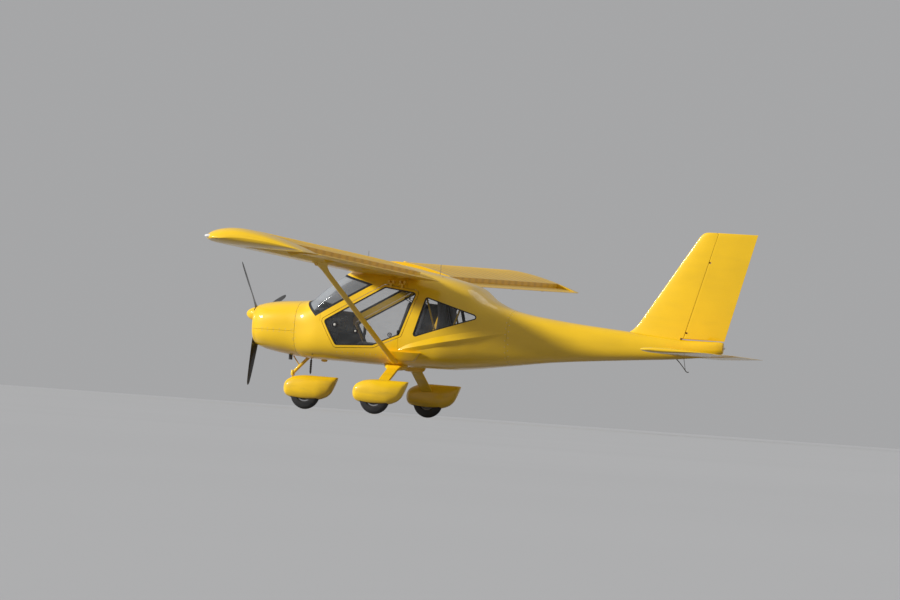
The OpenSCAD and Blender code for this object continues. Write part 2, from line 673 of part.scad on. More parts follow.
// Height below the top and how far the leading edge is set back there
FIN_TOP = [[62, 0], [30, 9], [10, 28], [2, 52], [0, 66]];
function fin_half(z) = fin_t / 2 * (1 - 0.42 * (z - fin_root_z) / (fin_top_z - fin_root_z));
function fin_ring(z, back) =
  let (x0 = fin_le(z) + back, x1 = hinge_at(z) - nose_at(z) - rudder_gap, t = fin_half(z))
  concat(
    [for (i = [5:-1:0]) let (s = 1 - cos(90 * i / 5)) [x0 + (x1 - x0) * s, t * sin(90 * pow(s, 0.62)), z]],
    [for (i = [1:5]) let (s = 1 - cos(90 * i / 5)) [x0 + (x1 - x0) * s, -t * sin(90 * pow(s, 0.62)), z]]);
function nose_at(z) = fin_half(z) * 0.92;
RUDDER_HINGES = [1180, 2000];
rudder_pin_r = 5;
rudder_slot = 2 * move_gap + bracket_t;
module fin() color(YELLOW) placed() {
  difference() {
    loft([for (s = concat([[fin_top_z - fin_root_z, 0]], FIN_TOP)) fin_ring(fin_top_z - s[0], s[1])]);
    hull_span(cabin_rear, tail_end);
  }
  for (z = RUDDER_HINGES) at_rudder_hinge(z) {
    translate([-nose_at(z) - rudder_gap - 2 * bite, -9, -bracket_t / 2])
      cube([nose_at(z) + rudder_gap + 2 * bite + 10, 18, bracket_t]);
    cylinder(r = rudder_pin_r, h = rudder_slot + 2 * move_gap, center = true, $fn = 24);
  }
}
module at_rudder_hinge(z) translate([hinge_at(z), 0, z]) rotate([0, hinge_lean, 0]) children();
rudder_low = 1108;
function rudder_ring(z) =
  let (h = hinge_at(z), r = nose_at(z), c = rudder_te(z) - h)
  concat(
    [for (a = [105:30:255]) [h + r * cos(a), r * sin(a), z]],
    [[h + c * 0.45, -r * 0.72, z], [h + c, -2, z], [h + c, 2, z], [h + c * 0.45, r * 0.72, z]]);
module rudder() color(YELLOW) placed() difference() {
  loft([for (z = [rudder_low, fin_top_z - 12, fin_top_z]) rudder_ring(z)]);
  for (z = RUDDER_HINGES) at_rudder_hinge(z) {
    translate([-fin_t, -fin_t, -rudder_slot / 2]) cube([fin_t + 18, 2 * fin_t, rudder_slot]);
    cylinder(r = rudder_pin_r + run_gap, h = rudder_slot + 4 * move_gap, center = true, $fn = 24);
  }
}

stab_pivot = stab_le + 0.26 * stab_chord;
stab_root_y = 128;
// Columns: distance from the centre line, leading edge back, trailing edge forward, share of thickness
STAB = [[stab_root_y, 0, 0, 1], [stab_half - 190, 0, 0, 0.94], [stab_half - 70, 26, 8, 0.8],
  [stab_half - 22, 72, 22, 0.6], [stab_half, 140, 44, 0.3]];
module stabilator() color(YELLOW) placed() {
  for (side = [LEFT, RIGHT]) on_side(side) loft([for (s = STAB)
    [for (p = stab_section(stab_chord - s[1] - s[2], stab_t * s[3]))
      [stab_le + s[1] + p[0], -s[0], stab_z + p[1]]]]);
  translate([stab_pivot, 0, stab_z]) rotate([90, 0, 0])
    cylinder(r = stab_tube_r, h = 2 * stab_root_y + 2 * bite, center = true, $fn = 48);
}
function stab_section(c, t, n = 9) = concat(
  [for (i = [n:-1:0]) let (x = 1 - cos(90 * i / n)) [c * x, t * half_t(x) + edge_t(x)]],
  [for (i = [1:n]) let (x = 1 - cos(90 * i / n)) [c * x, -t * half_t(x) - edge_t(x)]]);

skid_x = 5330;
skid_r = 5;
module tail_skid() color(DARK) placed() difference() {
  bar([skid_x, 0, 905], [skid_x + 140, 0, 732]) circle(r = skid_r, $fn = 16);
  hull_span(skid_x - 200, tail_end);
}
// Columns: station, height of the rod's top
ANTENNAS = [[1480, 1900], [2390, 1790]];
module antennas() color(DARK) placed() difference() {
  for (a = ANTENNAS) translate([a[0], 0, a[1] - 300]) cylinder(r = 3, h = 300, $fn = 16);
  hull_span(ANTENNAS[0][0] - 100, ANTENNAS[1][0] + 100);
}

// Propeller
prop_x = 150;
shaft_end = prop_x - 26;
// Columns: share of the radius, chord, thickness, pitch angle
BLADE = [[0.09, 46, 40, 52], [0.16, 66, 26, 44], [0.28, 92, 18, 34], [0.45, 98, 13, 26], [0.65, 88, 10, 20],
  [0.82, 72, 8, 17], [0.94, 52, 6, 15], [1, 20, 4, 14]];
module blade() loft([for (b = BLADE)
  [for (p = stream(b[1], b[2], 5)) [
    p[1] * cos(b[3]) + p[0] * sin(b[3]), p[1] * sin(b[3]) - p[0] * cos(b[3]), b[0] * prop_r]]]);
hub_r = 64;
hub_l = 52;
module propeller() color(DARK) placed() translate([prop_x, 0, shaft_z]) difference() {
  union() {
    rotate([0, 90, 0]) cylinder(r = hub_r, h = hub_l, center = true, $fn = 40);
    for (i = [0:blades - 1]) rotate([47 + i * 360 / blades, 0, 0]) {
      blade();
      translate([0, 0, hub_r - 12]) cylinder(r = 20, h = 0.16 * prop_r - hub_r, $fn = 24);
    }
  }
  rotate([0, 90, 0]) cylinder(r = shaft_r + run_gap, h = 60, center = true, $fn = 32);
}
spinner_base = cowl_front - 14;
spinner_t = 5;
// Profile of a round nose of radius r and length l, from its base to its tip
function bullet(r, l, n = 8) = [for (i = [n:-1:0]) [r * sin(90 * i / n), l * cos(90 * i / n)]];
module spinner() color(YELLOW) placed() difference() {
  union() {
    translate([spinner_base, 0, shaft_z]) rotate([0, -90, 0]) rotate_extrude($fn = 64) difference() {
      polygon(concat([[0, 0]], bullet(spinner_r, spinner_base)));
      polygon(concat([[0, -1], [spinner_r - spinner_t, -1]],
        bullet(spinner_r - spinner_t, spinner_base - 12)));
    }
    translate([prop_x + hub_l / 2 + run_gap, 0, shaft_z]) rotate([0, 90, 0]) difference() {
      cylinder(r = spinner_r - spinner_t + 1, h = 5, $fn = 64);
      translate([0, 0, -1]) cylinder(r = shaft_r + 5, h = 7, $fn = 32);
    }
  }
  for (i = [0:blades - 1]) translate([prop_x, 0, shaft_z]) rotate([47 + i * 360 / blades, 0, 0])
    translate([0, 0, hub_r + 4]) cylinder(r = 36, h = 60, $fn = 32);
}

// Landing gear
module tyre(x, y) color(DARK) placed() translate([x, y, tyre_r]) rotate([90, 0, 0]) rotate_extrude($fn = 72)
  intersection() {
    translate([rim_r, -tyre_w / 2]) square([tyre_r - rim_r, tyre_w]);
    translate([tyre_r - tyre_w * 0.55, 0]) circle(r = tyre_w * 0.55, $fn = 40);
  }
module rim(x, y) color(GREY) placed() translate([x, y, tyre_r]) rotate([90, 0, 0]) rotate_extrude($fn = 72)
  polygon([[axle_r + run_gap, -34], [axle_r + 18, -34], [axle_r + 22, -10], [rim_r - 16, -12],
    [rim_r - 14, -36], [rim_r, -36], [rim_r, 36], [rim_r - 14, 36],
    [rim_r - 16, 12], [axle_r + 22, 10], [axle_r + 18, 34], [axle_r + run_gap, 34]]);

// Wheel fairing. Columns: station from the axle, half width, bottom, top, backward rake
PANT = [[-275, 12, 222, 262, 0], [-262, 40, 182, 300, 0], [-215, 84, 142, 348, 0], [-110, 98, 118, 388, 0],
  [20, 104, 110, 400, 0], [150, 98, 116, 398, 0.05], [280, 74, 148, 396, 0.22], [352, 46, 200, 394, 0.36],
  [366, 24, 222, 390, 0.4]];
module pant_form(inset, last) loft([for (s = [for (i = [0:last]) PANT[i]])
  let (m = (s[2] + s[3]) / 2, h = (s[3] - s[2]) / 2 - inset, w = s[1] - inset)
  [for (i = [0:19]) let (a = 18 * (i + 0.5), c = cos(a), d = sin(a), z = h * sign(d) * pow(abs(d), 0.86))
    [s[0] + z * s[4] + (s[0] < -200 ? inset : 0) - (s[0] > 300 ? inset : 0),
      w * sign(c) * pow(abs(c), 0.86), m + z]]]);
module pant() difference() {
  pant_form(0, 8);
  pant_form(pant_t, 7);
  slot = sqrt(pow(tyre_r, 2) - pow(tyre_r - 110, 2)) + 2 * move_gap;
  translate([-slot, -tyre_w / 2 - move_gap, 60]) cube([2 * slot, tyre_w + 2 * move_gap, 120]);
}

// Nose gear. The steering axis stands ahead of the axle, which trails in its fork
steer_x = nose_axle_x - trail;
fork_t = 10;
fork_y = tyre_w / 2 + move_gap + fork_t / 2;
head_r = 24;
kingpin_r = 10;
head_base = 386;
head_h = 62;
leg_tube_r = 19;
crown_z = 284;
module nose_leg() color(YELLOW) placed() difference() {
  union() {
    translate([steer_x, 0, head_base]) cylinder(r = head_r, h = head_h, $fn = 40);
    bar([steer_x + 4, 0, head_base + 32], [steer_x + 214, 0, belly_z + 62]) circle(r = leg_tube_r, $fn = 32);
    bar([steer_x - 8, 0, belly_z + 52], [steer_x + 84, 0, head_base + 112]) circle(r = 7, $fn = 20);
    translate([nose_axle_x + 45, 0, 414]) cylinder(r = 11, h = belly_z + 40 - 414, $fn = 24);
  }
  hull_span(steer_x - 200, nose_axle_x + 300);
  translate([steer_x, 0, head_base - 10]) cylinder(r = kingpin_r + run_gap, h = head_h, $fn = 32);
}
module nose_fork() color(YELLOW) placed() {
  translate([steer_x, 0, crown_z]) cylinder(r = kingpin_r, h = head_base + head_h - 14 - crown_z, $fn = 32);
  translate([steer_x - 16, -fork_y - fork_t / 2 - 1, crown_z]) cube([32, 2 * fork_y + fork_t + 2, 22]);
  for (y = [-fork_y, fork_y]) {
    bar([steer_x + 8, y, crown_z + 9], [nose_axle_x - 4, y, tyre_r + 3]) square([26, fork_t], center = true);
    translate([nose_axle_x, y, tyre_r]) rotate([90, 0, 0])
      cylinder(r = 1.7 * axle_r, h = fork_t + 1, center = true, $fn = 32);
  }
  translate([nose_axle_x, 0, tyre_r]) rotate([90, 0, 0])
    cylinder(r = axle_r, h = 2 * fork_y + fork_t + 6, center = true, $fn = 32);
}
module nose_pant() color(YELLOW) placed() difference() {
  translate([nose_axle_x, 0, 0]) pant();
  translate([steer_x, 0, 300]) cylinder(r = kingpin_r + run_gap, h = 200, $fn = 32);
}

// Main leg on the left side
leg_root = [main_axle_x + 12, -280, belly_z + 26];
leg_knee = [main_axle_x + 6, -track / 2 + fork_y + 6, 300];
function blade_section(c, t) =
  rounded([[-c / 2, -t / 2], [c / 2, -t / 2], [c / 2, t / 2], [-c / 2, t / 2]], t * 0.45, 3);
module leg_blade(grow) {
  w = unit(leg_knee - leg_root);
  bar(leg_root, leg_knee + w * bite) polygon(blade_section(leg_chord + 2 * grow, leg_t + 2 * grow));
}
// Cuff round the leg's root. Columns: distance from the root, chord and thickness added to the blade's
CUFF = [[30, 150, 84], [70, 96, 56], [112, 34, 20], [150, 2, 3]];
module leg_cuff() loft([for (s = CUFF)
  let (o = leg_root + unit(leg_knee - leg_root) * s[0])
    [for (p = blade_section(leg_chord + s[1], leg_t + s[2])) [o[0] + p[0], o[1], o[2] + p[1]]]]);
module main_leg(side) color(YELLOW) placed() on_side(side) {
  difference() {
    union() {
      leg_blade(0);
      leg_cuff();
    }
    hull_span(main_axle_x - 300, main_axle_x + 400);
  }
  side_prism([[main_axle_x - 26, tyre_r - 22], [main_axle_x + 26, tyre_r - 22], [main_axle_x + 60, 306],
    [main_axle_x - 50, 306]], -track / 2 + fork_y - fork_t / 2, -track / 2 + fork_y + fork_t / 2);
  translate([main_axle_x, -track / 2 - 36, tyre_r]) rotate([-90, 0, 0])
    cylinder(r = axle_r, h = 36 + fork_y + fork_t / 2, $fn = 32);
}
module main_pant(side) color(YELLOW) placed() on_side(side) difference() {
  translate([main_axle_x, -track / 2, 0]) pant();
  leg_blade(run_gap);
}

cowl_upper();
cowl_lower();
firewall();
engine_block();
exhaust();
cabin_tub();
roof_frame();
aft_cabin();
tail_cone();
windscreen();
rear_window(LEFT);  // rear_window_left
rear_window(RIGHT);  // rear_window_right
door(LEFT);  // door_left
door(RIGHT);  // door_right
door_window(LEFT);  // door_window_left
door_window(RIGHT);  // door_window_right
instrument_panel();
seat_base();
seat(LEFT);  // seat_left
seat(RIGHT);  // seat_right
control_stick();
wing(LEFT);  // wing_left
wing(RIGHT);  // wing_right
wing_tip(LEFT);  // wing_tip_left
wing_tip(RIGHT);  // wing_tip_right
flaperon(LEFT);  // flaperon_left
flaperon(RIGHT);  // flaperon_right
strut(LEFT);  // strut_left
strut(RIGHT);  // strut_right
fin();
rudder();
stabilator();
tail_skid();
antennas();
propeller();
spinner();
nose_leg();
nose_fork();
nose_pant();
rim(nose_axle_x, 0);  // nose_rim
tyre(nose_axle_x, 0);  // nose_tyre
main_leg(LEFT);  // main_leg_left
main_leg(RIGHT);  // main_leg_right
main_pant(LEFT);  // main_pant_left
main_pant(RIGHT);  // main_pant_right
rim(main_axle_x, -track / 2);  // main_rim_left
rim(main_axle_x, track / 2);  // main_rim_right
tyre(main_axle_x, -track / 2);  // main_tyre_left
tyre(main_axle_x, track / 2);  // main_tyre_right
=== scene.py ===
"""Dresses a parked two-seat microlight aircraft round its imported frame.

Smooth skins, windows, doped fabric, padded seats and every finish are made here. Lengths are in metres.
A station is a distance aft of the spinner's tip, and heights are above the ground. Shapes are worked out
with stations as x, and move into the frame when their meshes are made.
"""

import json
import logging
import math
from dataclasses import dataclass
from enum import Enum
from typing import Any, ClassVar, Optional, Sequence, Union

import bmesh
import bpy
import numpy as np
from mathutils import Matrix, Vector

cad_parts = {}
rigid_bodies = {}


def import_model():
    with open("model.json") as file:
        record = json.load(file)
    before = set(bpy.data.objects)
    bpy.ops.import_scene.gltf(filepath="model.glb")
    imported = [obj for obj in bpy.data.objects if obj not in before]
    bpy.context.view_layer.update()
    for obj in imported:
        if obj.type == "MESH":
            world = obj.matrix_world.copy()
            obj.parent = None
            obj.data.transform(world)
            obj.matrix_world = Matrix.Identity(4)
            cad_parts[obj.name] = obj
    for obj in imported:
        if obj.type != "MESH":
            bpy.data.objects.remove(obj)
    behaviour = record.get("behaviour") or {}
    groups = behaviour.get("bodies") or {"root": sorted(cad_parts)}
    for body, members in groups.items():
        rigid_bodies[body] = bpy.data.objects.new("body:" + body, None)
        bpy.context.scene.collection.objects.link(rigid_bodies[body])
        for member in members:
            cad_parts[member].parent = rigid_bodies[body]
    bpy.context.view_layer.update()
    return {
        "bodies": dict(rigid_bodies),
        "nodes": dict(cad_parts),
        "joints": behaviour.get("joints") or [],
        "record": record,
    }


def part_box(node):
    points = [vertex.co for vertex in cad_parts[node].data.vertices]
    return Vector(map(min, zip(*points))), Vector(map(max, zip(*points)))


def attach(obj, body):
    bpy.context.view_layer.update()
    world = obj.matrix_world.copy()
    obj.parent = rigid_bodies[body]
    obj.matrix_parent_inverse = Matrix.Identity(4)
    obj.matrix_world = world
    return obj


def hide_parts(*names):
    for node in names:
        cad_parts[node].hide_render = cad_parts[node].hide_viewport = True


LOG = logging.getLogger("microlight")
PHOTO_WIDTH = 900
WELD = 1e-5
REACH = 0.7
SKY = 2.0
Outline = Sequence[Sequence[float]]
Piece = bpy.types.Object


class Side(Enum):
    """A side of the aircraft, by the sign of its y."""

    LEFT = -1
    RIGHT = 1

    @property
    def word(self) -> str:
        """The side's name, as the nodes end."""
        return self.name.lower()

    @property
    def span(self) -> tuple[float, float]:
        """Range across the aircraft that holds this side's wall."""
        return (-REACH, -0.1) if self is Side.LEFT else (0.1, REACH)


class Cut(Enum):
    """What a cutting tool does to a mesh."""

    AWAY = "DIFFERENCE"
    KEEP = "INTERSECT"


# Curves and outlines


def smooth_curve(xs: Sequence[float], ys: Sequence[float], at: Any) -> np.ndarray:
    """Cubic curve through points that never overshoots them.

    Args:
        xs: Rising places of the points.
        ys: Values there.
        at: Places to read, one or several.

    Returns:
        The values at those places.
    """
    xs, ys, at = (np.asarray(v, float) for v in (xs, ys, at))
    step = np.diff(xs)
    rise = np.diff(ys) / step
    slope = np.concatenate([rise[:1], np.zeros(len(xs) - 2), rise[-1:]])
    for i in range(1, len(xs) - 1):
        if rise[i - 1] * rise[i] > 0:
            before, after = 2 * step[i] + step[i - 1], step[i] + 2 * step[i - 1]
            slope[i] = (before + after) / (before / rise[i - 1] + after / rise[i])
    k = np.clip(np.searchsorted(xs, at) - 1, 0, len(xs) - 2)
    t = np.clip((at - xs[k]) / step[k], 0, 1)
    ends = (1 + 2 * t) * (1 - t) ** 2 * ys[k] + t * t * (3 - 2 * t) * ys[k + 1]
    return ends + step[k] * (t * (1 - t) ** 2 * slope[k] - t * t * (1 - t) * slope[k + 1])


def read(rows: Sequence[Sequence[float]], at: float) -> list[float]:
    """The smoothed columns of a table at a place in its first column."""
    places, *columns = np.array(rows, float).T
    return [float(smooth_curve(places, column, at)) for column in columns]


def unit(v: Any) -> np.ndarray:
    """The vector at length one."""
    v = np.asarray(v, float)
    return v / np.linalg.norm(v)


def rect(x0: float, z0: float, x1: float, z1: float) -> list[tuple[float, float]]:
    """The corners of an upright rectangle."""
    return [(x0, z0), (x1, z0), (x1, z1), (x0, z1)]


def turns(count: int) -> np.ndarray:
    """Even angles round a circle."""
    return np.linspace(0, 2 * math.pi, count + 1)[:-1]


def grown(outline: Outline, distance: float) -> np.ndarray:
    """An anticlockwise outline with each side moved outwards.

    Args:
        outline: Its corners.
        distance: How far each side moves.

    Returns:
        The new corners.
    """
    points = np.asarray(outline, float)
    made = []
    for i, point in enumerate(points):
        u, v = unit(point - points[i - 1]), unit(points[(i + 1) % len(points)] - point)
        out_u, out_v = np.array([u[1], -u[0]]), np.array([v[1], -v[0]])
        made.append(point + (out_u + out_v) * distance / (1 + out_u @ out_v))
    return np.array(made)


def rounded(outline: Outline, radius: float, steps: int = 8) -> np.ndarray:
    """An outline with each corner rounded.

    Args:
        outline: Its corners.
        radius: Radius of each corner.
        steps: Steps in each arc.

    Returns:
        The points of the rounded outline.
    """
    points = np.asarray(outline, float)
    made = []
    for i, point in enumerate(points):
        u, v = unit(points[i - 1] - point), unit(points[(i + 1) % len(points)] - point)
        half = math.acos(max(-1.0, min(1.0, float(u @ v)))) / 2
        middle = point + unit(u + v) * radius / math.sin(half)
        first = unit(point + u * radius / math.tan(half) - middle)
        last = unit(point + v * radius / math.tan(half) - middle)
        made += [middle + radius * unit(first * (steps - k) + last * k) for k in range(steps + 1)]
    return np.array(made)


def bent(points: Any, count: int) -> np.ndarray:
    """Evenly read points of a smooth curve through a few points."""
    points = np.asarray(points, float)
    length = np.concatenate([[0], np.cumsum(np.linalg.norm(np.diff(points, axis=0), axis=1))])
    at = np.linspace(0, length[-1], count)
    return np.stack([smooth_curve(length, column, at) for column in points.T], axis=1)


def both_sides(x: np.ndarray, half: np.ndarray) -> np.ndarray:
    """An outline out along a line of points and back along its mirror image."""
    return np.concatenate([np.stack([x, half], axis=1), np.stack([x, -half], axis=1)[-2::-1]])


def fullness(share: Any) -> np.ndarray:
    """Half thickness of a streamlined section, one thick, at a share of its chord."""
    body = 0.2969 * np.sqrt(share) - 0.126 * share - 0.3516 * share**2 + 0.2843 * share**3 - 0.1036 * share**4
    return 5 * body


def shares(count: int) -> np.ndarray:
    """Shares of a chord from the rear, closer together at the front."""
    return 1 - np.cos(np.linspace(math.pi / 2, 0, count))


def stream(chord: float, thickness: float, count: int = 26) -> np.ndarray:
    """Streamlined outline, with its middle at two fifths of the chord."""
    share = shares(count)
    return both_sides(chord * (share - 0.4), thickness * fullness(share) + np.where(share > 0.999, 0.0008, 0))


def mirrored(points: Any, side: Side) -> np.ndarray:
    """Points of the left side, on the given side."""
    return np.asarray(points, float) * np.array([1.0, -side.value, 1.0])


def slices(axis: int, *layers: tuple[Outline, float]) -> list[np.ndarray]:
    """Rings from flat outlines, each at its place along an axis."""
    return [np.insert(np.asarray(outline, float), axis, at, axis=1) for outline, at in layers]


def squared(outline: np.ndarray, along: np.ndarray, places: Sequence[np.ndarray]) -> list[np.ndarray]:
    """Rings of an outline at several places, square to a direction."""
    u = unit(np.array([1.0, 0, 0]) - along[0] * along)
    v = np.cross(along, u)
    return [place + np.outer(outline[:, 0], u) + np.outer(outline[:, 1], v) for place in places]


# Meshes


def linked(name: str, data: bpy.types.ID) -> Piece:
    """A new object in the scene."""
    obj = bpy.data.objects.new(name, data)
    bpy.context.scene.collection.objects.link(obj)
    return obj


class Shape:
    """Points and faces gathered for one mesh, with stations as x until it is made."""

    nose_x: ClassVar[float] = 0.0

    def __init__(self) -> None:
        """Starts empty."""
        self.points: list[tuple[float, float, float]] = []
        self.faces: list[tuple[int, ...]] = []
        self.slots: list[int] = []

    def loft(
        self, rings: Any, loop: bool = False, inner_from: Optional[int] = None, open_rings: bool = False
    ) -> "Shape":
        """Adds a skin through rings of points, closed at both ends.

        Args:
            rings: Rings with as many points each.
            loop: Whether the last ring joins the first.
            inner_from: First ring whose faces take the second material.
            open_rings: Whether each ring is a line, and the skin an open sheet.

        Returns:
            This shape.
        """
        rings = np.asarray(rings, float)
        count, size = rings.shape[:2]
        base = len(self.points)
        self.points.extend(map(tuple, rings.reshape(-1, 3)))
        for k in range(count if loop else count - 1):
            row, following = base + k * size, base + (k + 1) % count * size
            for i in range(size - 1 if open_rings else size):
                j = (i + 1) % size
                self.faces.append((row + i, row + j, following + j, following + i))
                self.slots.append(int(inner_from is not None and k >= inner_from))
        if not loop and not open_rings:
            self.faces.append(tuple(base + i for i in reversed(range(size))))
            self.faces.append(tuple(base + (count - 1) * size + i for i in range(size)))
            self.slots += [0, int(inner_from is not None)]
        return self

    def prism(self, outline: Outline, y0: float = -REACH, y1: float = REACH) -> "Shape":
        """Adds a prism across the aircraft from a side view outline."""
        return self.loft(slices(1, (outline, y0), (outline, y1)))

    def tube(self, path: Any, radius: Any, sides: int = 20) -> "Shape":
        """Adds a round bar along a path.

        Args:
            path: Points of its middle line.
            radius: One radius, or one at each point.
            sides: Points round it.

        Returns:
            This shape.
        """
        path = np.asarray(path, float)
        radii = np.broadcast_to(np.asarray(radius, float), (len(path),))
        tangents = np.gradient(path, axis=0)
        across = unit(np.cross(tangents[0], [0.31, 0.93, 0.2]))
        rings = []
        for point, tangent, r in zip(path, tangents, radii):
            along = unit(tangent)
            across = unit(across - along * (across @ along))
            turn = turns(sides)
            out = np.outer(np.cos(turn), across) + np.outer(np.sin(turn), np.cross(along, across))
            rings.append(point + r * out)
        return self.loft(rings)

    def ribbon(self, path: Any, across: Any, width: float, thickness: float) -> "Shape":
        """Adds a flat strap along a path.

        Args:
            path: Points of its middle line.
            across: Direction of its width.
            width: Its width.
            thickness: Its thickness.

        Returns:
            This shape.
        """
        path, across, rings = np.asarray(path, float), np.asarray(across, float), []
        edge = ((-1, -0.5), (-0.94, -1), (0.94, -1), (1, -0.5), (1, 0.5), (0.94, 1), (-0.94, 1), (-1, 0.5))
        for point, tangent in zip(path, np.gradient(path, axis=0)):
            along = unit(tangent)
            flat = unit(across - along * (along @ across))
            up = np.cross(along, flat) * thickness / 2
            rings.append([point + flat * w * width / 2 + up * h for w, h in edge])
        return self.loft(rings)

    def revolve(self, profile: Outline, centre: Any, axis: Any, steps: int = 96) -> "Shape":
        """Adds a closed profile turned a full round.

        Args:
            profile: Loop of points, each a radius and a distance along the axis.
            centre: Point of the axis at distance zero.
            axis: Direction of the axis.
            steps: Steps round.

        Returns:
            This shape.
        """
        along = unit(axis)
        across = unit(np.cross(along, [0.2, 0.5, 0.9]))
        other = np.cross(along, across)
        r, far = np.asarray(profile, float).T
        outs = [across * math.cos(t) + other * math.sin(t) for t in turns(steps)]
        rings = [np.asarray(centre) + np.outer(r, out) + np.outer(far, along) for out in outs]
        return self.loft(rings, loop=True)

    def build(self, name: str, materials: Sequence[bpy.types.Material]) -> Piece:
        """Makes the object, its doubles merged and its faces pointing outwards.

        Args:
            name: Name of the piece.
            materials: Its materials, in the order of the slots.

        Returns:
            The new object.
        """
        mesh = bpy.data.meshes.new(name)
        mesh.from_pydata([(x + self.nose_x, y, z) for x, y, z in self.points], [], self.faces)
        for material in materials:
            mesh.materials.append(material)
        mesh.polygons.foreach_set("material_index", self.slots)
        tidy = bmesh.new()
        tidy.from_mesh(mesh)
        bmesh.ops.remove_doubles(tidy, verts=tidy.verts, dist=WELD)
        bmesh.ops.recalc_face_normals(tidy, faces=tidy.faces)
        tidy.to_mesh(mesh)
        tidy.free()
        return shade(linked(name, mesh))


def shade(obj: Piece, angle: float = 32.0) -> Piece:
    """Shades an object smooth, but for edges sharper than an angle in degrees."""
    obj.data.polygons.foreach_set("use_smooth", [True] * len(obj.data.polygons))
    obj.data.set_sharp_from_angle(angle=math.radians(angle))
    return obj


def settle(obj: Piece) -> Piece:
    """Turns an object's modifiers into its own mesh."""
    evaluated = obj.evaluated_get(bpy.context.evaluated_depsgraph_get())
    mesh = bpy.data.meshes.new_from_object(evaluated)
    obj.modifiers.clear()
    old, obj.data = obj.data, mesh
    bpy.data.meshes.remove(old)
    return obj


def carve(obj: Piece, tool: Shape, cut: Cut = Cut.AWAY) -> Piece:
    """Cuts an object with a closed shape, which is taken away or is what stays."""
    cutter = tool.build("tool", [])
    modifier = obj.modifiers.new("cut", "BOOLEAN")
    modifier.operation, modifier.solver, modifier.object = cut.value, "EXACT", cutter
    settle(obj)
    bpy.data.objects.remove(cutter)
    return shade(obj)


def bevelled(obj: Piece, width: float) -> Piece:
    """Rounds an object's sharp edges."""
    modifier = obj.modifiers.new("edges", "BEVEL")
    modifier.width, modifier.segments = width, 3
    return shade(settle(obj), 50.0)


def coordinates(mesh: bpy.types.Mesh) -> np.ndarray:
    """A mesh's points."""
    flat = np.empty(len(mesh.vertices) * 3)
    mesh.vertices.foreach_get("co", flat)
    return flat.reshape(-1, 3)


def swollen(pad: Piece, voxel: float = 0.007, cap: float = 0.012, steps: int = 20) -> Piece:
    """Blows a pad up as cloth with air in it.

    Args:
        pad: The pad, a little smaller than it gets.
        voxel: Size of its even faces.
        cap: How far a point may move.
        steps: Frames of the simulation.

    Returns:
        The pad, subdivided once.
    """
    remesh = pad.modifiers.new("even", "REMESH")
    remesh.mode, remesh.voxel_size = "VOXEL", voxel
    settle(pad)
    cloth = pad.modifiers.new("cloth", "CLOTH")
    cloth.settings.use_pressure = True
    cloth.settings.uniform_pressure_force = 4.0
    cloth.settings.effector_weights.gravity = 0.0
    for number in range(1, steps + 1):
        bpy.context.scene.frame_set(number)
    graph = bpy.context.evaluated_depsgraph_get()
    move = coordinates(pad.evaluated_get(graph).data) - coordinates(pad.data)
    far = np.linalg.norm(move, axis=1, keepdims=True)
    move *= np.minimum(1.0, cap / np.maximum(far, 1e-9))
    pad.modifiers.clear()
    bpy.context.scene.frame_set(1)
    pad.data.vertices.foreach_set("co", (coordinates(pad.data) + move).ravel())
    fine = pad.modifiers.new("fine", "SUBSURF")
    fine.levels = fine.render_levels = 1
    return shade(settle(pad), 180.0)


def joined(name: str, parts: Sequence[Piece]) -> Piece:
    """Joins objects into one that has the given name, shaded anew."""
    merged = bmesh.new()
    materials: list[bpy.types.Material] = []
    for part in parts:
        own = list(part.data.materials)
        materials += [material for material in dict.fromkeys(own) if material not in materials]
        start = len(merged.faces)
        merged.from_mesh(part.data)
        merged.faces.ensure_lookup_table()
        for face in merged.faces[start:]:
            face.material_index = materials.index(own[min(face.material_index, len(own) - 1)])
    mesh = bpy.data.meshes.new(name)
    merged.to_mesh(mesh)
    merged.free()
    for material in materials:
        mesh.materials.append(material)
    for part in parts:
        bpy.data.objects.remove(part)
    return shade(linked(name, mesh))


# Node trees


Value = Union["Wire", float, Sequence[float], str, bpy.types.Material]


@dataclass(frozen=True)
class Wire:
    """One output of a node, with Python's arithmetic."""

    tree: "NodeTree"
    socket: Optional[bpy.types.NodeSocket]

    def __add__(self, other: Value) -> "Wire":
        """Sum."""
        return self.tree.maths("ADD", self, other)

    def __radd__(self, other: Value) -> "Wire":
        """Sum, the other way round."""
        return self.tree.maths("ADD", other, self)

    def __sub__(self, other: Value) -> "Wire":
        """Difference."""
        return self.tree.maths("SUBTRACT", self, other)

    def __rsub__(self, other: Value) -> "Wire":
        """Difference, the other way round."""
        return self.tree.maths("SUBTRACT", other, self)

    def __mul__(self, other: Value) -> "Wire":
        """Product."""
        return self.tree.maths("MULTIPLY", self, other)

    def __rmul__(self, other: Value) -> "Wire":
        """Product, the other way round."""
        return self.tree.maths("MULTIPLY", other, self)

    def __truediv__(self, other: Value) -> "Wire":
        """Quotient."""
        return self.tree.maths("DIVIDE", self, other)

    def __rtruediv__(self, other: Value) -> "Wire":
        """Quotient, the other way round."""
        return self.tree.maths("DIVIDE", other, self)

    def clamped(self) -> "Wire":
        """The value kept from 0 to 1."""
        return self.tree.node("ShaderNodeClamp", {"Value": self})

    def step(self, low: float, high: float) -> "Wire":
        """0 below low, 1 above high, and smooth between them."""
        inputs = {"Value": self, "From Min": low, "From Max": high}
        return self.tree.node("ShaderNodeMapRange", inputs, interpolation_type="SMOOTHSTEP")


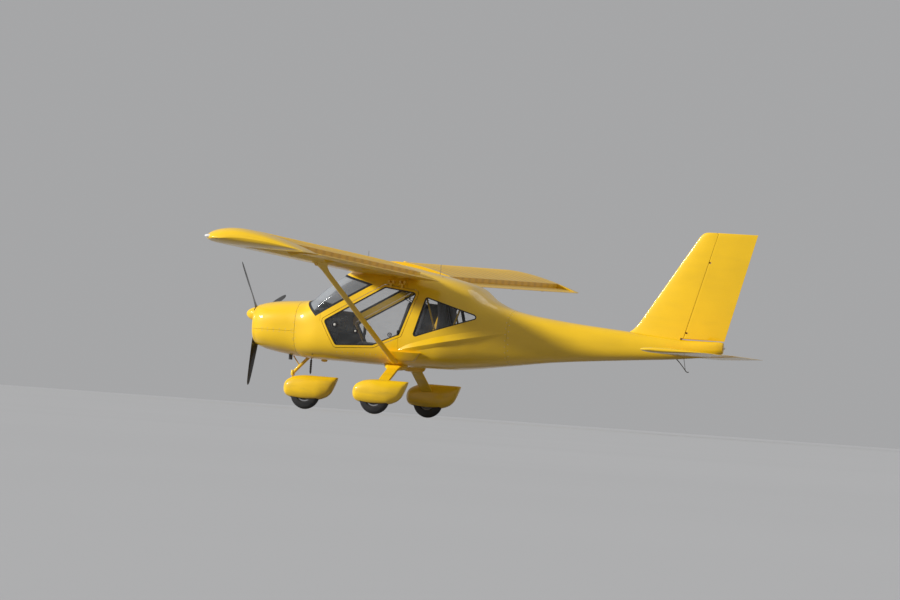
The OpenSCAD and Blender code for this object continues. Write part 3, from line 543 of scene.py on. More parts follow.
class NodeTree:
    """A node tree whose nodes all come from one method."""

    def __init__(self, tree: bpy.types.NodeTree) -> None:
        """Keeps the tree."""
        self.tree = tree

    def node(
        self, kind: str, inputs: Optional[dict[Any, Value]] = None, output: Union[int, str] = 0, **settings: Any
    ) -> Wire:
        """Adds a node.

        Args:
            kind: The node's type.
            inputs: Values or wires, by the name or number of the socket.
            output: Which output is handed back.
            settings: Its own properties, set first.

        Returns:
            That output.
        """
        made = self.tree.nodes.new(kind)
        for key, value in settings.items():
            setattr(made, key, value)
        for key, value in (inputs or {}).items():
            if isinstance(value, Wire):
                self.tree.links.new(value.socket, made.inputs[key])
            else:
                made.inputs[key].default_value = value
        return Wire(self, made.outputs[output] if made.outputs else None)

    def maths(self, operation: str, *values: Value) -> Wire:
        """Adds one Math node for an operation on values."""
        return self.node("ShaderNodeMath", dict(enumerate(values)), operation=operation)

    def seen(self) -> Wire:
        """One for what the camera sees, directly, mirrored or through a window."""
        direct, mirror, through = (
            self.node("ShaderNodeLightPath", output=f"Is {ray} Ray")
            for ray in ("Camera", "Glossy", "Transmission")
        )
        return self.maths("MAXIMUM", self.maths("MAXIMUM", direct, mirror), through)


class Surface(NodeTree):
    """The shader tree of one material."""

    def __init__(self, name: str) -> None:
        """Makes the material, with an empty tree."""
        self.material = bpy.data.materials.new(name)
        self.material.use_nodes = True
        super().__init__(self.material.node_tree)
        self.tree.nodes.clear()
        self.place = self.node("ShaderNodeTexCoord", output="Object")

    def parts(self) -> tuple[Wire, Wire, Wire]:
        """X, y and z of the place on the aircraft."""
        return tuple(self.node("ShaderNodeSeparateXYZ", {0: self.place}, axis) for axis in "XYZ")

    def noise(self, scale: float, detail: float = 3.0, stretch: Sequence[float] = (1, 1, 1)) -> Wire:
        """Noise of so many waves a metre, stretched along each axis."""
        place = self.node("ShaderNodeMapping", {"Vector": self.place, "Scale": tuple(stretch)})
        return self.node("ShaderNodeTexNoise", {"Vector": place, "Scale": scale, "Detail": detail}, "Fac")

    def mix(self, amount: Value, first: Value, second: Value) -> Wire:
        """A blend of two colours."""
        inputs = {0: amount, 6: first, 7: second}
        return self.node("ShaderNodeMix", inputs, 2, data_type="RGBA", blend_type="MIX")

    def bump(self, height: Wire, distance: float, strength: float = 1.0) -> Wire:
        """A Normal from a height from 0 to 1 and its real size."""
        return self.node("ShaderNodeBump", {"Height": height, "Distance": distance, "Strength": strength})

    def close(self, **sockets: Value) -> bpy.types.Material:
        """Adds the main shader, its sockets named with _ for a space, and hands back the material."""
        inputs = {key.replace("_", " "): value for key, value in sockets.items()}
        self.node("ShaderNodeOutputMaterial", {"Surface": self.node("ShaderNodeBsdfPrincipled", inputs)})
        return self.material


class GeometryTree(NodeTree):
    """A Geometry Nodes tree with named inputs, a material among them."""

    KINDS = {float: "Float", int: "Int", tuple: "Vector"}

    def __init__(self, name: str, **inputs: Any) -> None:
        """Makes the tree.

        Args:
            name: Name of the tree.
            inputs: First values of the inputs between the geometry and the material.
        """
        super().__init__(bpy.data.node_groups.new(name, "GeometryNodeTree"))
        face = self.tree.interface
        face.new_socket(name="Geometry", in_out="OUTPUT", socket_type="NodeSocketGeometry")
        self.identifiers: dict[str, str] = {}
        for key, value in {"Geometry": None, **inputs, "Material": None}.items():
            kind = "NodeSocket" + self.KINDS.get(type(value), key)
            item = face.new_socket(name=key, in_out="INPUT", socket_type=kind)
            if value is not None:
                item.default_value = value
            self.identifiers[key] = item.identifier
        entry = self.tree.nodes.new("NodeGroupInput")
        self.given = {socket.name: Wire(self, socket) for socket in entry.outputs if socket.name}

    def copies(self, points: Wire, instance: Wire, **inputs: Value) -> Wire:
        """Copies of a mesh on points."""
        return self.node("GeometryNodeInstanceOnPoints", {"Points": points, "Instance": instance, **inputs})

    def close(self, geometry: Wire) -> None:
        """Realizes the instances, sets the material and joins the output."""
        real = self.node("GeometryNodeRealizeInstances", {"Geometry": geometry})
        dressed = self.node("GeometryNodeSetMaterial", {"Geometry": real, "Material": self.given["Material"]})
        self.node("NodeGroupOutput", {"Geometry": dressed})

    def grow(self, source: Piece, **values: Any) -> Piece:
        """Runs the tree on an object and turns the result into its plain mesh."""
        modifier = source.modifiers.new(self.tree.name, "NODES")
        modifier.node_group = self.tree
        for key, value in values.items():
            modifier[self.identifiers[key]] = value
        return settle(source)


class RivetTree(GeometryTree):
    """Flat domed heads at even steps along lines, each along the line's own normal."""

    HEAD_SIDES = 8

    def __init__(self) -> None:
        """Builds the tree."""
        super().__init__("rivet rows", Spacing=0.04, Radius=0.003, Height=0.0008)
        given = self.given
        curve = self.node("GeometryNodeMeshToCurve", {0: given["Geometry"]})
        even = self.node(
            "GeometryNodeResampleCurve", {"Curve": curve, "Length": given["Spacing"]}, mode="LENGTH"
        )
        sizes = {
            "Vertices": self.HEAD_SIDES,
            "Radius Top": given["Radius"] * 0.6,
            "Radius Bottom": given["Radius"],
            "Depth": given["Height"],
        }
        head = self.node("GeometryNodeMeshCone", sizes, fill_type="NGON")
        out = self.node("GeometryNodeInputNamedAttribute", {"Name": "out"}, data_type="FLOAT_VECTOR")
        turned = self.node("FunctionNodeAlignRotationToVector", {"Vector": out}, axis="Z")
        self.close(self.copies(even, head, Rotation=turned))

    def rows(
        self,
        name: str,
        lines: Sequence[tuple[Any, Any]],
        material: bpy.types.Material,
        spacing: float,
        radius: float,
        height: float = 0.0008,
    ) -> Piece:
        """Makes rows of heads.

        Args:
            name: Name of the piece.
            lines: For each row, its points and the outward normals there.
            material: Finish of the heads.
            spacing: Distance between heads.
            radius: Radius of a head.
            height: How far a head stands out.

        Returns:
            The finished piece.
        """
        points: list[Any] = []
        normals: list[float] = []
        edges: list[tuple[int, int]] = []
        for line, outward in lines:
            base = len(points)
            points.extend((x + Shape.nose_x, y, z) for x, y, z in np.asarray(line, float))
            normals.extend(np.asarray(outward, float).ravel())
            edges.extend((base + i, base + i + 1) for i in range(len(line) - 1))
        mesh = bpy.data.meshes.new(name)
        mesh.from_pydata(points, edges, [])
        mesh.attributes.new("out", "FLOAT_VECTOR", "POINT").data.foreach_set("vector", normals)
        sizes = {"Spacing": spacing, "Radius": radius, "Height": height}
        return shade(self.grow(linked(name, mesh), Material=material, **sizes))


class RepeatTree(GeometryTree):
    """Copies of one mesh at even steps along a line."""

    def __init__(self) -> None:
        """Builds the tree."""
        super().__init__("even copies", Count=8, Step=(0.0, 0.2, 0.0))
        inputs = {"Count": self.given["Count"], "Offset": self.given["Step"]}
        line = self.node("GeometryNodeMeshLine", inputs, mode="OFFSET")
        self.close(self.copies(line, self.given["Geometry"]))


class SpinTree(GeometryTree):
    """Copies of one mesh at even angles about an axis along x."""

    def __init__(self) -> None:
        """Builds the tree."""
        super().__init__("even turns", Count=3, Centre=(0.0, 0.0, 0.0))
        count, centre = self.given["Count"], self.given["Centre"]
        away = self.node("ShaderNodeVectorMath", {0: centre, "Scale": -1.0}, operation="SCALE")
        home = self.node("GeometryNodeTransform", {"Geometry": self.given["Geometry"], "Translation": away})
        points = self.node("GeometryNodeMeshLine", {"Count": count, "Offset": (0, 0, 0)}, mode="OFFSET")
        angle = self.node("GeometryNodeInputIndex") * (2 * math.pi) / count
        turn = self.node("FunctionNodeEulerToRotation", {0: self.node("ShaderNodeCombineXYZ", {"X": angle})})
        real = self.node("GeometryNodeRealizeInstances", {"Geometry": self.copies(points, home, Rotation=turn)})
        self.close(self.node("GeometryNodeTransform", {"Geometry": real, "Translation": centre}))


# Finishes


Colour = tuple[float, float, float]


@dataclass(frozen=True)
class Finish:
    """A finish with mottled colour, fine grain and a little grime."""

    name: str
    slot: str
    colour: Colour
    roughness: float = 0.45
    metallic: float = 0.0
    coat: float = 0.0
    mottle: float = 0.06
    grain_scale: float = 400.0
    grain_height: float = 0.00005
    grime: float = 0.0
    grime_colour: Colour = (0.09, 0.07, 0.045)

    def rgba(self, *factors: float) -> tuple[float, ...]:
        """The colour times one factor, or a factor for each channel."""
        each = factors if len(factors) == 3 else factors * 3 or (1.0,) * 3
        return tuple(min(1.0, c * k) for c, k in zip(self.colour, each)) + (1.0,)

    def tone(self, tree: Surface) -> Wire:
        """The colour, a little darker and lighter in wide patches, with grime low down."""
        patches = tree.noise(1.7, 4.0).step(0.3, 0.7)
        tone = tree.mix(patches, self.rgba(1 - self.mottle), self.rgba(1 + self.mottle))
        if not self.grime:
            return tone
        streaks = tree.noise(5.0, 6.0, (0.5, 2.0, 2.0)).step(0.42, 0.8)
        low = 1 - tree.parts()[2].step(0.12, 0.75)
        return tree.mix(streaks * (low * 0.8 + 0.12) * self.grime, tone, self.grime_colour + (1.0,))

    def grain(self, tree: Surface) -> Wire:
        """The height of the fine grain, from 0 to 1."""
        return tree.noise(self.grain_scale, 2.0)

    def build(self) -> bpy.types.Material:
        """Makes the material."""
        tree = Surface(self.name)
        return tree.close(
            Base_Color=self.tone(tree),
            Roughness=tree.noise(9.0, 5.0).step(0.25, 0.75) * 0.12 + (self.roughness - 0.06),
            Metallic=self.metallic,
            Coat_Weight=self.coat,
            Coat_Roughness=0.06,
            Normal=tree.bump(self.grain(tree), self.grain_height),
        )


@dataclass(frozen=True)
class WovenFinish(Finish):
    """A woven cloth, plain or under dope, with its threads along two axes of the aircraft."""

    thread: float = 0.0016
    weave_height: float = 0.00025
    sheen: float = 0.0

    def grain(self, tree: Surface) -> Wire:
        """The height of the weave: waves of threads one way and the other."""
        along, across, up = tree.parts()
        turn = 2 * math.pi / self.thread
        return tree.maths("SINE", along * turn) * tree.maths("SINE", (across + up * 0.7) * turn) * 0.5 + 0.5

    def build(self) -> bpy.types.Material:
        """Makes the material."""
        tree = Surface(self.name)
        weave, tone = self.grain(tree), self.tone(tree)
        return tree.close(
            Base_Color=tree.mix(weave * 0.35, tone, self.rgba(0.6)) if self.sheen else tone,
            Roughness=tree.noise(14.0, 3.0) * 0.12 + (self.roughness - 0.06),
            Coat_Weight=self.coat,
            Coat_Roughness=0.12,
            Sheen_Weight=self.sheen,
            Normal=tree.bump(weave, self.weave_height, 0.6),
        )


@dataclass(frozen=True)
class RibbedFinish(WovenFinish):
    """Doped cloth over ribs, with painted shade darkening the cloth midway between them."""

    pitch: float = 0.2406
    root: float = 0.600

    def tone(self, tree: Surface) -> Wire:
        """The colour, with a band of painted shade midway between each pair of ribs along the span."""
        wave = (tree.maths("ABSOLUTE", tree.parts()[1]) - self.root) * (2 * math.pi / self.pitch)
        # Painted shade: the colour turns brown midway between ribs, standing in for the shade that falls
        # between them.
        painted_bay_shade = 0.5 - tree.maths("COSINE", wave) * 0.5
        return tree.mix(painted_bay_shade * painted_bay_shade * 0.4, super().tone(tree), self.rgba(0.62, 0.52, 0.5))


@dataclass(frozen=True)
class RubberFinish(Finish):
    """Black rubber with dust on its tread and sidewall."""

    def build(self) -> bpy.types.Material:
        """Makes the material."""
        tree = Surface(self.name)
        dust = tree.noise(22.0, 6.0).step(0.35, 0.85)
        return tree.close(
            Base_Color=tree.mix(dust * 0.3, self.rgba(), (0.085, 0.078, 0.068, 1.0)),
            Roughness=dust * 0.2 + 0.62,
            Normal=tree.bump(self.grain(tree), self.grain_height),
        )


@dataclass(frozen=True)
class WindowFinish(Finish):
    """A thin clear window, seen through from both sides, that mirrors more at a slant."""

    clear: float = 0.035

    def build(self) -> bpy.types.Material:
        """Makes the material."""
        tree = Surface(self.name)
        slant = tree.node("ShaderNodeFresnel", {"IOR": 1.45})
        haze = tree.noise(6.0, 5.0, (1, 1, 3)).step(0.4, 0.9) * 0.05
        return tree.close(
            Base_Color=self.rgba(),
            Roughness=haze + self.roughness,
            Alpha=(slant * 0.6 + haze + self.clear).clamped(),
            Coat_Weight=self.coat,
        )


@dataclass(frozen=True)
class BrushedFinish(Finish):
    """Metal with fine scratches one way and darker oily patches."""

    def build(self) -> bpy.types.Material:
        """Makes the material."""
        tree = Surface(self.name)
        scratches = tree.noise(260.0, 2.0, (0.06, 1.0, 1.0))
        oil = tree.noise(12.0, 5.0).step(0.45, 0.8)
        return tree.close(
            Base_Color=tree.mix(oil * 0.4, self.rgba(), self.rgba(0.45)),
            Metallic=self.metallic,
            Roughness=scratches * 0.2 + (self.roughness - 0.1),
            Normal=tree.bump(scratches, 0.00004),
        )


YELLOW = (0.86, 0.525, 0.008)
GELCOAT = Finish(
    "yellow gelcoat", "yellow_gelcoat", YELLOW, roughness=0.38, coat=0.5, mottle=0.03, grain_scale=260.0,
    grime=0.4
)
FABRIC = RibbedFinish(
    "doped fabric", "yellow_fabric", (0.84, 0.495, 0.008), roughness=0.52, coat=0.25, mottle=0.03, grime=0.2,
    weave_height=0.00008,
)
PAINT = Finish(
    "painted metal", "yellow_metal", YELLOW, roughness=0.4, coat=0.5, mottle=0.035, grain_scale=120.0,
    grime=0.35
)
CLEAR = WindowFinish("clear window", "clear_window", (0.4, 0.42, 0.44), roughness=0.04, coat=0.3)
SEAL = Finish("window seal", "black_plastic", (0.014, 0.014, 0.016), roughness=0.55, grain_scale=700.0)
BLADE = Finish(
    "black composite", "black_composite", (0.012, 0.012, 0.014), roughness=0.36, coat=0.25, mottle=0.25,
    grime=0.1
)
PLASTIC = Finish("black plastic", "black_plastic", (0.02, 0.02, 0.022), roughness=0.5, grain_height=0.0001)
TRIM = Finish("grey trim", "grey_plastic", (0.2, 0.2, 0.205), roughness=0.62, grain_height=0.0001)
LINING = Finish("cabin lining", "grey_plastic", (0.12, 0.117, 0.115), roughness=0.8, mottle=0.15)
SEAT_CLOTH = WovenFinish(
    "seat cloth", "seat_fabric", (0.055, 0.058, 0.066), roughness=0.85, mottle=0.12, thread=0.004, sheen=0.3,
    weave_height=0.0005,
)
BAG_CLOTH = WovenFinish(
    "baggage cloth", "seat_fabric", (0.74, 0.75, 0.77), roughness=0.85, mottle=0.1, thread=0.004, sheen=0.2,
    weave_height=0.0004,
)
WEBBING = WovenFinish(
    "belt webbing", "seat_fabric", (0.03, 0.032, 0.04), roughness=0.7, mottle=0.1, thread=0.0024, sheen=0.2
)
# Pale dial print, also used as the painted highlight on the door vents.
DIAL_WHITE_AND_HIGHLIGHT = Finish("dial marks", "grey_plastic", (0.75, 0.75, 0.72), roughness=0.5)
LAMP = Finish("lamp lens", "clear_window", (0.8, 0.78, 0.75), roughness=0.12, coat=0.8, mottle=0.02)
ENGINE_METAL = BrushedFinish("engine castings", "engine_metal", (0.3, 0.3, 0.31), roughness=0.45, metallic=0.9)
DARK_METAL = BrushedFinish("dark metal", "dark_metal", (0.09, 0.085, 0.08), roughness=0.5, metallic=0.7)
BARE_METAL = BrushedFinish("bare metal", "bare_metal", (0.62, 0.62, 0.63), roughness=0.3, metallic=1.0)
RUBBER = RubberFinish(
    "tyre rubber", "tyre_rubber", (0.016, 0.016, 0.017), grain_scale=500.0, grain_height=0.0002
)


class Paintbox:
    """Makes each finish once and hands out its material."""

    def __init__(self) -> None:
        """Starts with no material."""
        self._made: dict[str, bpy.types.Material] = {}

    def __getitem__(self, finish: Finish) -> bpy.types.Material:
        """The material of a finish."""
        if finish.name not in self._made:
            self._made[finish.name] = finish.build()
        return self._made[finish.name]


# The aircraft's forms


@dataclass(frozen=True)
class HullForm:
    """The fuselage's outer form, from sections along it.

    Each row is a station, half width, bottom, top, and the squareness below and above.
    """

    rows: tuple[tuple[float, ...], ...] = (
        (0.205, 0.2945, 0.735, 1.178, 2.6, 2.6),
        (0.245, 0.3705, 0.702, 1.202, 2.7, 2.7),
        (0.450, 0.437, 0.650, 1.245, 2.8, 2.8),
        (0.800, 0.475, 0.605, 1.272, 3.0, 3.0),
        (0.880, 0.491, 0.597, 1.278, 3.2, 3.1),
        (1.110, 0.551, 0.591, 1.446, 3.5, 3.4),
        (1.330, 0.575, 0.587, 1.605, 3.8, 3.8),
        (1.530, 0.581, 0.581, 1.697, 4.0, 4.0),
        (1.800, 0.585, 0.576, 1.765, 4.0, 4.0),
        (2.250, 0.585, 0.573, 1.697, 4.0, 4.0),
        (2.560, 0.565, 0.576, 1.638, 3.8, 3.8),
        (2.880, 0.485, 0.603, 1.555, 3.4, 3.2),
        (3.090, 0.410, 0.631, 1.415, 3.1, 2.8),
        (3.370, 0.323, 0.670, 1.307, 2.8, 2.5),
        (3.850, 0.232, 0.737, 1.233, 2.5, 2.3),
        (4.800, 0.140, 0.826, 1.150, 2.3, 2.2),
        (5.300, 0.098, 0.868, 1.113, 2.2, 2.2),
        (5.450, 0.084, 0.884, 1.098, 2.2, 2.3),
        (5.855, 0.042, 0.955, 1.100, 2.3, 2.6),
        (5.880, 0.032, 0.968, 1.094, 2.3, 2.5),
    )

    def row(self, station: float) -> np.ndarray:
        """Half width, bottom, top and squareness at a station."""
        return np.array(read(self.rows, station))

    def ring(self, station: float, inset: float = 0.0, count: int = 160, row: Any = None) -> np.ndarray:
        """One section's points, evenly spaced round it.

        Args:
            station: Where the section is.
            inset: How far it lies inside the outer form.
            count: Number of points.
            row: A row to use instead of the table's.

        Returns:
            The points, from the bottom up the left side and down the right.
        """
        half, low, high, below, above = self.row(station) if row is None else row
        middle, rise, width = (low + high) / 2, (high - low) / 2 - inset, half - inset
        turn = np.linspace(-math.pi / 2, math.pi / 2, 721)
        power = 2 / np.where(turn > 0, above, below)
        y = width * np.abs(np.cos(turn)) ** power
        z = rise * np.sign(turn) * np.abs(np.sin(turn)) ** power
        length = np.concatenate([[0], np.cumsum(np.hypot(np.diff(y), np.diff(z)))])
        at = (np.arange(count // 2) + 0.5) / (count // 2) * length[-1]
        y, z = np.interp(at, length, y), np.interp(at, length, z) + middle
        left, right = np.stack([-y, z], axis=1), np.stack([y, z], axis=1)
        return np.insert(np.concatenate([left, right[::-1]]), 0, station, axis=1)

    def side(self, station: float, z: float) -> float:
        """Half width at a station and height."""
        half, low, high, below, above = self.row(station)
        middle = (low + high) / 2
        power = above if z > middle else below
        return half * max(0.0, 1 - (abs(z - middle) / (high - middle)) ** power) ** (1 / power)

    def stations(self, start: float, end: float, step: float = 0.03) -> np.ndarray:
        """Evenly spaced stations between two."""
        return np.linspace(start, end, max(2, round((end - start) / step) + 1))

    def shell(self, start: float, end: float, outer: float, inner: float) -> Shape:
        """A wall between two depths below the outer form, open at both ends."""
        at = self.stations(start, end)
        rings = [self.ring(s, outer) for s in at] + [self.ring(s, inner) for s in at[::-1]]
        return Shape().loft(rings, loop=True, inner_from=len(at) - 1)

    def solid(self, start: float, end: float, inset: float, step: float = 0.03) -> Shape:
        """The form at a depth, filled, for cutting what ends on it."""
        return Shape().loft([self.ring(s, inset) for s in self.stations(start, end, step)])


@dataclass(frozen=True)
class CabinPlan:
    """Side view outlines of the cabin's openings and seams, as stations and heights."""

    window: tuple[tuple[float, float], ...] = (
        (1.350, 0.766), (1.815, 0.790), (2.150, 0.935), (2.326, 1.432), (1.932, 1.480), (1.190, 1.046),
    )
    quarter: tuple[tuple[float, float], ...] = ((2.298, 0.906), (3.050, 1.180), (3.000, 1.226), (2.440, 1.396))
    door_margin: float = 0.030
    door_gap: float = 0.006
    door_wall: tuple[float, float] = (1.1, 2.42)
    pillar_w: float = 0.062
    screen_base: float = 0.880
    roof_front: float = 1.330
    window_corner: float = 0.034
    doorway_corner: float = 0.046
    door_corner: float = 0.040
    quarter_corner: float = 0.030

    @property
    def doorway(self) -> np.ndarray:
        """The opening that a door closes."""
        return grown(self.window, self.door_margin)

    @property
    def pane(self) -> np.ndarray:
        """The door's window, with its round corners."""
        return rounded(self.window, self.window_corner)

    @property
    def rear_pane(self) -> np.ndarray:
        """The rear side window, with its round corners."""
        return rounded(self.quarter, self.quarter_corner)

    @property
    def along(self) -> np.ndarray:
        """Direction of the door's front edge, up and aft."""
        return unit(np.array(self.window[4]) - np.array(self.window[5]))

    @property
    def screen(self) -> np.ndarray:
        """The windscreen's outline, closed above the roof."""
        up = np.array([-self.along[1], self.along[0]])
        low = self.doorway[5] + up * self.pillar_w
        top = self.doorway[4] + up * self.pillar_w - self.along * 0.130
        foot = self.screen_base - 0.012
        front = self.roof_front
        return np.array(
            [(foot, 1.285), low - self.along * 0.045, top, (front + 0.060, 1.596), (front + 0.010, 1.645),
             (front - 0.020, 1.700), (foot, 1.700)]
        )

    @property
    def pillar_seam(self) -> float:
        """Station of the seam between the tub and the windscreen pillars."""
        return float(self.doorway[5][0] - self.along[1] * self.pillar_w + 0.026)


@dataclass(frozen=True)
class WingForm:
    """The wing's section and frame. The span runs along the slope from the root."""

    chord: float = 1.030
    full_chord: float = 1.295
    thickness: float = 0.192
    root: tuple[float, float, float] = (1.295, 0.600, 1.702)
    dihedral: float = math.radians(1.5)
    incidence: float = math.radians(5.3)
    half_span: float = 4.725
    tip: float = 0.275
    camber: float = 0.042
    crest: float = 0.36

    @property
    def panel(self) -> float:
        """Length of the straight part of the wing."""
        return (self.half_span - self.root[1]) / math.cos(self.dihedral) - self.tip

    @property
    def cut(self) -> float:
        """Share of the whole chord at which the wing ends and the flaperon starts."""
        return self.chord / self.full_chord

    def mean(self, share: Any) -> np.ndarray:
        """Height of the camber line at a share of the whole chord."""
        share = np.asarray(share, float)
        front = (2 * self.crest * share - share**2) / self.crest**2
        back = (1 - 2 * self.crest + 2 * self.crest * share - share**2) / (1 - self.crest) ** 2
        return self.full_chord * self.camber * np.where(share < self.crest, front, back)

    def skin(self, share: Any, sign: int, thickness: Optional[float] = None) -> np.ndarray:
        """Height of the upper (1) or lower (-1) surface at a share of the whole chord."""
        thick = self.thickness if thickness is None else thickness
        return self.mean(share) + sign * thick * fullness(np.asarray(share, float))

    def place(self, points: Any, side: Side) -> np.ndarray:
        """Points of the wing's frame, x aft, second along the span and z up, in the aircraft's."""
        x, s, z = np.moveaxis(np.asarray(points, float), -1, 0)
        lean, tilt = self.incidence, self.dihedral
        aft = x * math.cos(lean) + z * math.sin(lean)
        rise = -x * math.sin(lean) + z * math.cos(lean)
        out = s * math.cos(tilt) - rise * math.sin(tilt)
        high = s * math.sin(tilt) + rise * math.cos(tilt)
        return np.stack([aft + self.root[0], side.value * (out + self.root[1]), high + self.root[2]], axis=-1)

    def section(self, cut: float, thickness: float, count: int = 44) -> tuple[np.ndarray, np.ndarray]:
        """Shares of the chord and heights round a section, from its upper rear to its lower rear."""
        share = cut * shares(count)
        upper, lower = (self.skin(share, sign, thickness) for sign in (1, -1))
        return np.concatenate([share, share[-2::-1]]), np.concatenate([upper, lower[-2::-1]])


@dataclass
class Aircraft:
    """What every sub-assembly shares."""

    paint: Paintbox
    hull: HullForm
    plan: CabinPlan
    wing: WingForm
    rivets: RivetTree
    repeat: RepeatTree
    spin: SpinTree

    def keep(self, frame: dict, finish: Finish, *nodes: str) -> None:
        """Leaves nodes showing, in a finish."""
        for node in nodes:
            data = frame["nodes"][node].data
            data.materials.clear()
            data.materials.append(self.paint[finish])
            LOG.info("%s: kept, in %s", node, finish.name)


@dataclass
class Assembly:
    """One sub-assembly, and the ways in which its pieces are made."""

    craft: Aircraft

    def __post_init__(self) -> None:
        """Keeps the shared forms at hand."""
        self.hull, self.plan, self.wing = self.craft.hull, self.craft.plan, self.craft.wing

    def made(self, shape: Shape, name: str, *finishes: Finish) -> Piece:
        """A shape's object, with a finish for each of its slots."""
        return shape.build(name, [self.craft.paint[finish] for finish in finishes])

    def finish(self, obj: Piece, finish: Finish, *nodes: str, body: str = "airframe") -> Piece:
        """Sets a piece on its body, hides the nodes that it replaces and logs its size.

        Args:
            obj: The finished piece.
            finish: Not used.
            nodes: Nodes that it replaces.
            body: The body that it rides on.

        Returns:
            The piece.
        """
        if nodes:
            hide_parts(*nodes)
        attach(obj, body)
        LOG.info("%s: %d faces, on %s", obj.name, len(obj.data.polygons), body)
        return obj

    def add(self, shape: Shape, name: str, finish: Finish, *nodes: str, body: str = "airframe") -> Piece:
        """Makes a piece of one finish and sets it on its body."""
        return self.finish(self.made(shape, name, finish), finish, *nodes, body=body)


@dataclass
class Sided(Assembly):
    """A sub-assembly on one side of the aircraft."""

    side: Side

    def __post_init__(self) -> None:
        """Keeps the side's name at hand."""
        super().__post_init__()
        self.word = self.side.word


@dataclass
class Fuselage(Assembly):
    """Cowlings, cabin shell and tail cone."""

    cowl_front: float = 0.205
    cowl_round: float = 0.040
    firewall: float = 0.800
    cabin_rear: float = 3.370
    tail_end: float = 5.880
    shell_t: float = 0.022
    tail_skin_t: float = 0.014
    split_z: float = 0.900
    seam: float = 0.0012
    shaft_z: float = 1.076
    shaft_hole: float = 0.050
    inlet: tuple[float, float, float] = (0.750, 0.070, 0.260)
    exhaust: tuple[float, float, float] = (0.640, -0.120, 0.034)
    crease: tuple[tuple[float, ...], ...] = (
        (2.135, 0.050, 0.066, 0.002), (2.300, 0.078, 0.070, 0.022), (2.700, 0.104, 0.064, 0.030),
        (3.050, 0.106, 0.058, 0.026), (3.350, 0.090, 0.046, 0.002),
    )
    pillar_y: float = 0.33
    crease_z: float = 0.7597
    crease_slope: float = 0.2255

    def nose_rings(self, inset: float, end: float) -> list[np.ndarray]:
        """Rings of the cowling from its rounded front to a station."""
        hull, rings = self.hull, []
        for turn in np.linspace(0, math.pi / 2, 9):
            station = self.cowl_front + inset + (self.cowl_round - inset * 0.5) * (1 - math.cos(turn))
            row = hull.row(self.cowl_front + self.cowl_round)
            row[:3] += 0.055 * (1 - math.sin(turn)) * np.array([-1.2, 0.8, -0.6])
            rings.append(hull.ring(station, inset, row=row))
        return rings + [hull.ring(s, inset) for s in hull.stations(rings[-1][0][0], end)[1:]]

    def cowlings(self) -> None:
        """The upper and lower cowling, with the shaft's hole, the inlet and the exhaust's hole."""
        end, front = self.firewall - 0.002, self.cowl_front
        for part, low, high in (
            ("upper", self.split_z + self.seam, SKY), ("lower", 0.3, self.split_z - self.seam)
        ):
            outer, inner = self.nose_rings(0.0, end), self.nose_rings(self.shell_t, end)
            wall = Shape().loft(outer + inner[::-1], inner_from=len(outer) - 1)
            cowl = self.made(wall, f"cowling_{part}", GELCOAT, LINING)
            carve(cowl, Shape().prism(rect(front - 0.1, low, self.firewall + 0.1, high)), Cut.KEEP)
            shaft = [(front - 0.05, 0, self.shaft_z), (front + 0.07, 0, self.shaft_z)]
            carve(cowl, Shape().tube(shaft, self.shaft_hole, 48))
            if part == "lower":
                self.openings(cowl)
            self.finish(cowl, GELCOAT, f"cowl_{part}")

    def openings(self, cowl: Piece) -> None:
        """Cuts the air inlet and the exhaust's hole."""
        low, height, width = self.inlet
        mouth = rounded(rect(-width / 2, low, width / 2, low + height), 0.030)
        carve(cowl, Shape().loft(slices(0, (mouth, self.cowl_front - 0.05), (mouth, self.cowl_front + 0.09))))
        x, y, r = self.exhaust
        carve(cowl, Shape().tube([(x, y, 0.5), (x, y, 0.72)], r, 40))

    def cabin(self) -> None:
        """The tub, the roof with its pillars, and the aft cabin, cut from one wall."""
        plan, gap, earth = self.plan, self.seam, 0.3
        corner_x, corner_z = plan.doorway[2]
        low_x, top_x, seam_z = corner_x - 0.040, corner_x + 0.020, corner_z + 0.120
        front, rear, pillar = self.firewall + gap, self.cabin_rear + 0.1, plan.pillar_seam
        tub = [(front, earth), (low_x - gap, earth), (low_x - gap, seam_z), (pillar - gap, seam_z),
               (pillar - gap, SKY), (front, SKY)]
        roof = rect(pillar + gap, seam_z, top_x - gap, SKY)
        aft = [(low_x + gap, earth), (rear, earth), (rear, SKY), (top_x + gap, SKY), (top_x + gap, seam_z),
               (low_x + gap, seam_z)]
        for node, start, end, outline, hole in (
            ("cabin_tub", self.firewall, low_x + 0.1, tub, plan.screen),
            ("roof_frame", pillar - 0.1, top_x + 0.1, roof, plan.screen),
            ("aft_cabin", low_x - 0.1, self.cabin_rear - gap, aft, plan.rear_pane),
        ):
            wall = self.hull.shell(start, end, 0.0, self.shell_t)
            panel = carve(self.made(wall, node, GELCOAT, LINING), Shape().prism(outline), Cut.KEEP)
            for opening in (rounded(plan.doorway, plan.doorway_corner), hole):
                carve(panel, Shape().prism(opening))
            pieces = [panel]
            if node == "roof_frame":
                pieces += [self.root_ribs()] + [Door(self.craft, side).roof_leaves() for side in Side]
                for face in panel.data.polygons:
                    if abs(face.center.y) > self.pillar_y:
                        face.material_index = 0
            if node == "aft_cabin":
                pieces.append(self.creases())
            self.finish(joined(node + "_skin", pieces), GELCOAT, node)

    def creases(self) -> Piece:
        """A raised crease on each side, which rises aft from the strut's shoe."""
        hull, shape, first = self.hull, Shape(), self.crease[0][0]
        for side in Side:
            rings = []
            for s in hull.stations(first, self.crease[-1][0], 0.04):
                above, below, out = read(self.crease, s)
                z = self.crease_z + (s - first) * self.crease_slope
                edge = -hull.side(s, z) - out
                root = [(self.shell_t / 2 - hull.side(s, h), h) for h in np.linspace(z - below, z + above, 9)]
                round_edge = [(edge + 0.0012, z + 0.004), (edge, z), (edge + 0.0012, z - 0.004)]
                rings += slices(0, (round_edge + root, s))
            shape.loft(mirrored(rings, side))
        return self.made(shape, "creases", GELCOAT)

